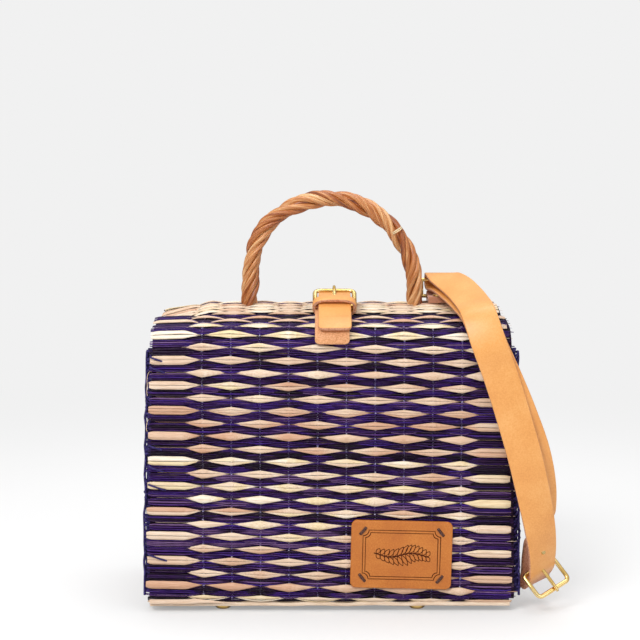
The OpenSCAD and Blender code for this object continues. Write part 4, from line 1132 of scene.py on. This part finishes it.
def on_patch(points):
    """Points given across and up the patch, and out of its face, in the bag's frame."""
    points = np.asarray(points, float)
    c, s = math.cos(PATCH_LEAN), math.sin(PATCH_LEAN)
    return PATCH_MID + np.stack([points[:, 0] * c - points[:, 1] * s, -points[:, 2],
                                 points[:, 0] * s + points[:, 1] * c], 1)


def corner_arcs(half_w, half_h, radius, turn, count):
    """Arcs about the corners of a rectangle, anticlockwise from its upper right: they bulge out where they turn
    by 90 degrees, and are notches where they turn by -90."""
    return [(sx * half_w + radius * math.cos(a), sz * half_h + radius * math.sin(a))
            for sx, sz, out, notch in ((1, 1, 0, 270), (-1, 1, 90, 0), (-1, -1, 180, 90), (1, -1, 270, 180))
            for start in [out if turn > 0 else notch]
            for a in np.radians(np.linspace(start, start + turn, count))]


def leather_patch(material):
    """The patch with softened edges: rings of its outline from the back to a slightly domed face."""
    rings = []
    for inset, lift in ((0.0, 0.0), (0.0, PATCH_T - 0.7), (0.25, PATCH_T - 0.25), (0.8, PATCH_T),
                        (6.0, PATCH_T + 0.05)):
        radius = 4.5 - inset * 0.6
        outline = corner_arcs(PATCH_W / 2 - inset - radius, PATCH_H / 2 - inset - radius, radius, 90, 8)
        rings.append(on_patch(np.column_stack([outline, np.full(len(outline), lift)])))
    count = len(rings[0])
    faces = [tuple(range(count))[::-1]]
    for level in range(len(rings) - 1):
        for i in range(count):
            a, b = level * count + i, level * count + (i + 1) % count
            faces.append((a, b, b + count, a + count))
    faces.append(tuple(range((len(rings) - 1) * count, len(rings) * count)))
    mesh = mesh_of("stitched_patch", place(np.concatenate(rings)), faces, material)
    finish_piece("stitched_patch", mesh, "basket", ["leather_patch"])


def patch_lines(material):
    """A generic burnt ornament: a double border with notched corners, and a sprig of leaves in its middle."""
    guides = []

    def line(points, size=1.0):
        flat = np.column_stack([np.asarray(points, float), np.full(len(points), PATCH_T + 0.05)])
        guides.append(guide(on_patch(flat), (0, -1, 0), size, 0.5))

    for half_w, half_h, notch in ((29.5, 19.0, 4.5), (27.5, 17.0, 3.8)):
        corners = corner_arcs(half_w, half_h, notch, -90, 7)
        line(corners + corners[:1], 1.0)
    line([(x, 1.6 * math.sin(x / 5.2)) for x in np.linspace(-21, 21, 60)], 1.2)
    for i, x in enumerate(np.linspace(-19, 19, 13)):
        for side in (-1, 1):
            lean = math.radians(58 * side)
            length = 9.5 - 0.25 * abs(x)
            t = np.linspace(0, 1, 12)
            for bend in (-1, 1):
                across = bend * 1.5 * np.sin(math.pi * t)
                px = x + length * t * math.cos(lean) - across * math.sin(lean)
                pz = 1.6 * math.sin(x / 5.2) + length * t * math.sin(lean) + across * math.cos(lean)
                line(np.column_stack([px, pz]), 0.8)
    sweep("burnt_ornament", guides, 0.8, 0.16, 6, material, "basket")


def patch_stitches(material):
    """One thick slanting stitch at each corner of the patch."""
    guides = []
    for sx in (-1, 1):
        for sz in (-1, 1):
            lean = 1 if sx * sz < 0 else -1
            t = np.linspace(-1, 1, 14)
            x = sx * (PATCH_W / 2 - 9) + lean * 2.5 * t
            z = sz * (PATCH_H / 2 - 8) + 3.0 * t
            lift = PATCH_T - 0.4 + 1.1 * np.sqrt(np.clip(1 - t ** 2, 0, 1))
            guides.append(guide(on_patch(np.column_stack([x, z, lift])), (0, -1, 0), 1.0, 0.5))
    sweep("corner_stitches", guides, 2.3, 1.4, 8, material, "basket", ["patch_stitches"])


# Frayed ends and threads

# Frayed reeds: the side, the height, the length and how far each curls. Slanting stitches: height and slant.
FRAYS = ((-1, 186, 9, 2.0), (-1, 150, 8, 1.5), (-1, 176, 5, 3.0), (1, 172, 9, 2.5), (1, 140, 7, 2.0))
STITCHES = ((43.5, 9), (98, 8), (128.5, 6), (112, 7), (196, 6), (188, 7))


def loose_threads(natural_mat, cord_mat):
    """Short frayed reeds and cord ends at the mat's edges."""
    frays = []
    for side, z, length, lift in FRAYS:
        x0 = side * (half_width(z) - 2)
        t = np.linspace(0, 1, 14)
        points = np.stack([x0 + side * 3.2 * np.sin(2.2 * t), 4 - 4 * t, z - length * t + lift * np.sin(5 * t)], 1)
        frays.append(guide(points, (side, -0.4, 0), 1.0 - 0.5 * t, 0.35))
    sweep("frayed_reeds", frays, 1.6, 0.5, 6, natural_mat, "basket")
    stitches = []
    for z, slant in STITCHES:
        t = np.linspace(0, 1, 12)
        x = -half_width(z) + 1 + 15 * t * (slant / 9)
        points = np.stack([x, -1.6 - 1.3 * np.sin(math.pi * t), z + slant * 0.6 * (0.5 - t)], 1)
        stitches.append(guide(points, (0, -1, 0), 1.0, 0.4))
    sweep("lacing_stitches", stitches, 1.5, 1.1, 6, cord_mat, "basket")


# Stage and light

BACKDROP = "#F1F1F1"


def stage_surface():
    """Matt pale paper sweep: even light grey, and it keeps the bag's soft shadow."""
    made = bpy.data.materials.new("paper_sweep")
    made.use_nodes = True
    tree = made.node_tree
    tree.nodes.clear()
    paper = add(tree, "ShaderNodeBsdfDiffuse", {"Color": linear("#E9E9E9")})
    glow = add(tree, "ShaderNodeEmission", {"Color": linear(BACKDROP), "Strength": 1.0})
    path = add(tree, "ShaderNodeLightPath")
    spot = add(tree, "ShaderNodeTexCoord").outputs["Object"]
    reach = add(tree, "ShaderNodeVectorMath", {0: spot}, operation="LENGTH").outputs["Value"]
    far = add(tree, "ShaderNodeMapRange", {"Value": reach, 1: 0.25, 2: 1.1, 3: 0.35, 4: 1.0},
              interpolation_type="SMOOTHSTEP").outputs[0]
    seen = add(tree, "ShaderNodeMath", {0: path.outputs["Is Camera Ray"], 1: far}, operation="MULTIPLY").outputs[0]
    mixed = add(tree, "ShaderNodeMixShader", {0: seen, 1: paper.outputs[0], 2: glow.outputs[0]})
    add(tree, "ShaderNodeOutputMaterial", {"Surface": mixed.outputs[0]})
    return made


def stage():
    """A floor that runs far back, so that it meets the pale background at the horizon. Only the camera sees the
    background. All else sees a soft sky, brighter towards its top."""
    size = 9.0
    corners = [(-size, -size, 0), (size, -size, 0), (size, size, 0), (-size, size, 0)]
    new_object("floor", mesh_of("floor", corners, [(0, 1, 2, 3)], stage_surface()))
    world = bpy.data.worlds.new("studio")
    bpy.context.scene.world = world
    world.use_nodes = True
    tree = world.node_tree
    tree.nodes.clear()
    path = add(tree, "ShaderNodeLightPath").outputs["Is Camera Ray"]
    toward = add(tree, "ShaderNodeTexCoord").outputs["Generated"]
    height = add(tree, "ShaderNodeSeparateXYZ", {0: toward}).outputs["Z"]
    level = add(tree, "ShaderNodeMapRange", {"Value": height, 1: 0.0, 2: 0.85, 3: 0.2, 4: 0.95}).outputs[0]
    sky = add(tree, "ShaderNodeBackground", {"Color": (1, 1, 1, 1), "Strength": level})
    backdrop = add(tree, "ShaderNodeBackground", {"Color": linear(BACKDROP), "Strength": 1.0})
    mixed = add(tree, "ShaderNodeMixShader", {0: path, 1: sky.outputs[0], 2: backdrop.outputs[0]})
    add(tree, "ShaderNodeOutputWorld", {"Surface": mixed.outputs[0]})


def lamp(name, location, target, size, power):
    """A round area lamp that points at its target."""
    data = bpy.data.lights.new(name, "AREA")
    data.shape = "DISK"
    data.size = size
    data.energy = power
    made = new_object(name, data)
    made.location = location
    made.rotation_euler = (Vector(target) - Vector(location)).to_track_quat("-Z", "Y").to_euler()


def lights():
    """A broad soft key from the front left, a weaker fill from the right, and a top light."""
    lamp("key", (-0.7, -1.3, 1.5), (0, 0, 0.12), 0.9, 24)
    lamp("fill", (1.3, -1.2, 0.9), (0, 0, 0.12), 1.2, 5)
    lamp("top", (0.1, 0.2, 1.8), (0, 0, 0.2), 1.0, 9)


def build():
    camera()
    stage()
    lights()
    natural, purple, string = peeled_reed(), dyed_reed(), warp_string()
    cord, willow, brass = lacing_cord(), willow_bark(), polished_brass()
    # The mats' inside, coloured dark as painted shade where it shows between the reeds. Parts of model.glb without a
    # brass or willow finish get it too.
    inside = inner_weave_and_gap_shade()
    strap_skin = leather("veg_tanned_strap", "strap_leather", ("#D18B44", "#DC984F", "#E3A662"), 0.42, 0.7, 0.05,
                         ("#A5694A", "#CF9A7C"), Coat_Weight=0.12, Coat_Roughness=0.35)
    suede = leather("raw_suede", "suede", ("#A86A4C", "#B97B5C", "#C88E70"), 0.9, 0.5, 0.12, Sheen_Weight=0.3,
                    Sheen_Roughness=0.6)
    patch_skin = leather("patch_leather", "patch_leather", ("#A85A1A", "#B6681E", "#C47A2E"), 0.5, 0.8, 0.06)

    for label, first, last, fine, coarse in (("front", 0, FRONT_LAST, 120, 84),
                                             ("base", FRONT_LAST + 1, BASE_LAST, 70, 56),
                                             ("back", BASE_LAST + 1, ROWS, 76, 70)):
        rows = range(first, last + 1)
        weave_region(f"{label}_natural_weave", rows, True, fine, natural, f"{label}_natural_reeds")
        weave_region(f"{label}_purple_weave", rows, False, coarse, purple, "basket_mat")
    rows = range(0, LID_ROWS + 1)
    weave_region("lid_natural_weave", rows, True, 120, natural, "lid_natural_reeds", lid=True)
    weave_region("lid_purple_weave", rows, False, 84, purple, "lid_mat", lid=True)
    core_sheet("basket_inside", ROWS, BASKET_MAT, inside, "basket", ["basket_mat"], 2.5)
    core_sheet("lid_inside", LID_ROWS, LID_MAT, inside, "lid", ["lid_mat"], 3.0)
    warp_lines(string)
    for label, side in (("left", -1), ("right", 1)):
        side_reeds(f"{label}_side_natural_weave", side, True, natural, f"{label}_side_reeds")
        side_reeds(f"{label}_side_purple_weave", side, False, purple, f"{label}_side_panel")
        side_core(f"{label}_side_inside", side, inside)
        for end, rear in (("front", False), ("rear", True)):
            corner_lacing(f"lacing_{end}_{label}", side, rear, cord, f"seam_{end}_{label}")
    for label in ("front", "rear"):
        bottom_edge(label, natural)
    handle_canes(willow)
    buckles(brass)
    handle_knot(natural)
    closure_straps(strap_skin)
    shoulder_strap(strap_skin)
    anchor_leather(suede)
    leather_patch(patch_skin)
    patch_lines(burnt_line())
    patch_stitches(waxed_thread())
    loose_threads(natural, cord)

    finishes = {"brass": brass, "willow": willow}
    slots = {part["node"]: part["material_slot"] for part in frame["record"]["subparts"]}
    for name, obj in frame["nodes"].items():
        obj.data.materials.clear()
        obj.data.materials.append(finishes.get(slots[name], inside))


build()
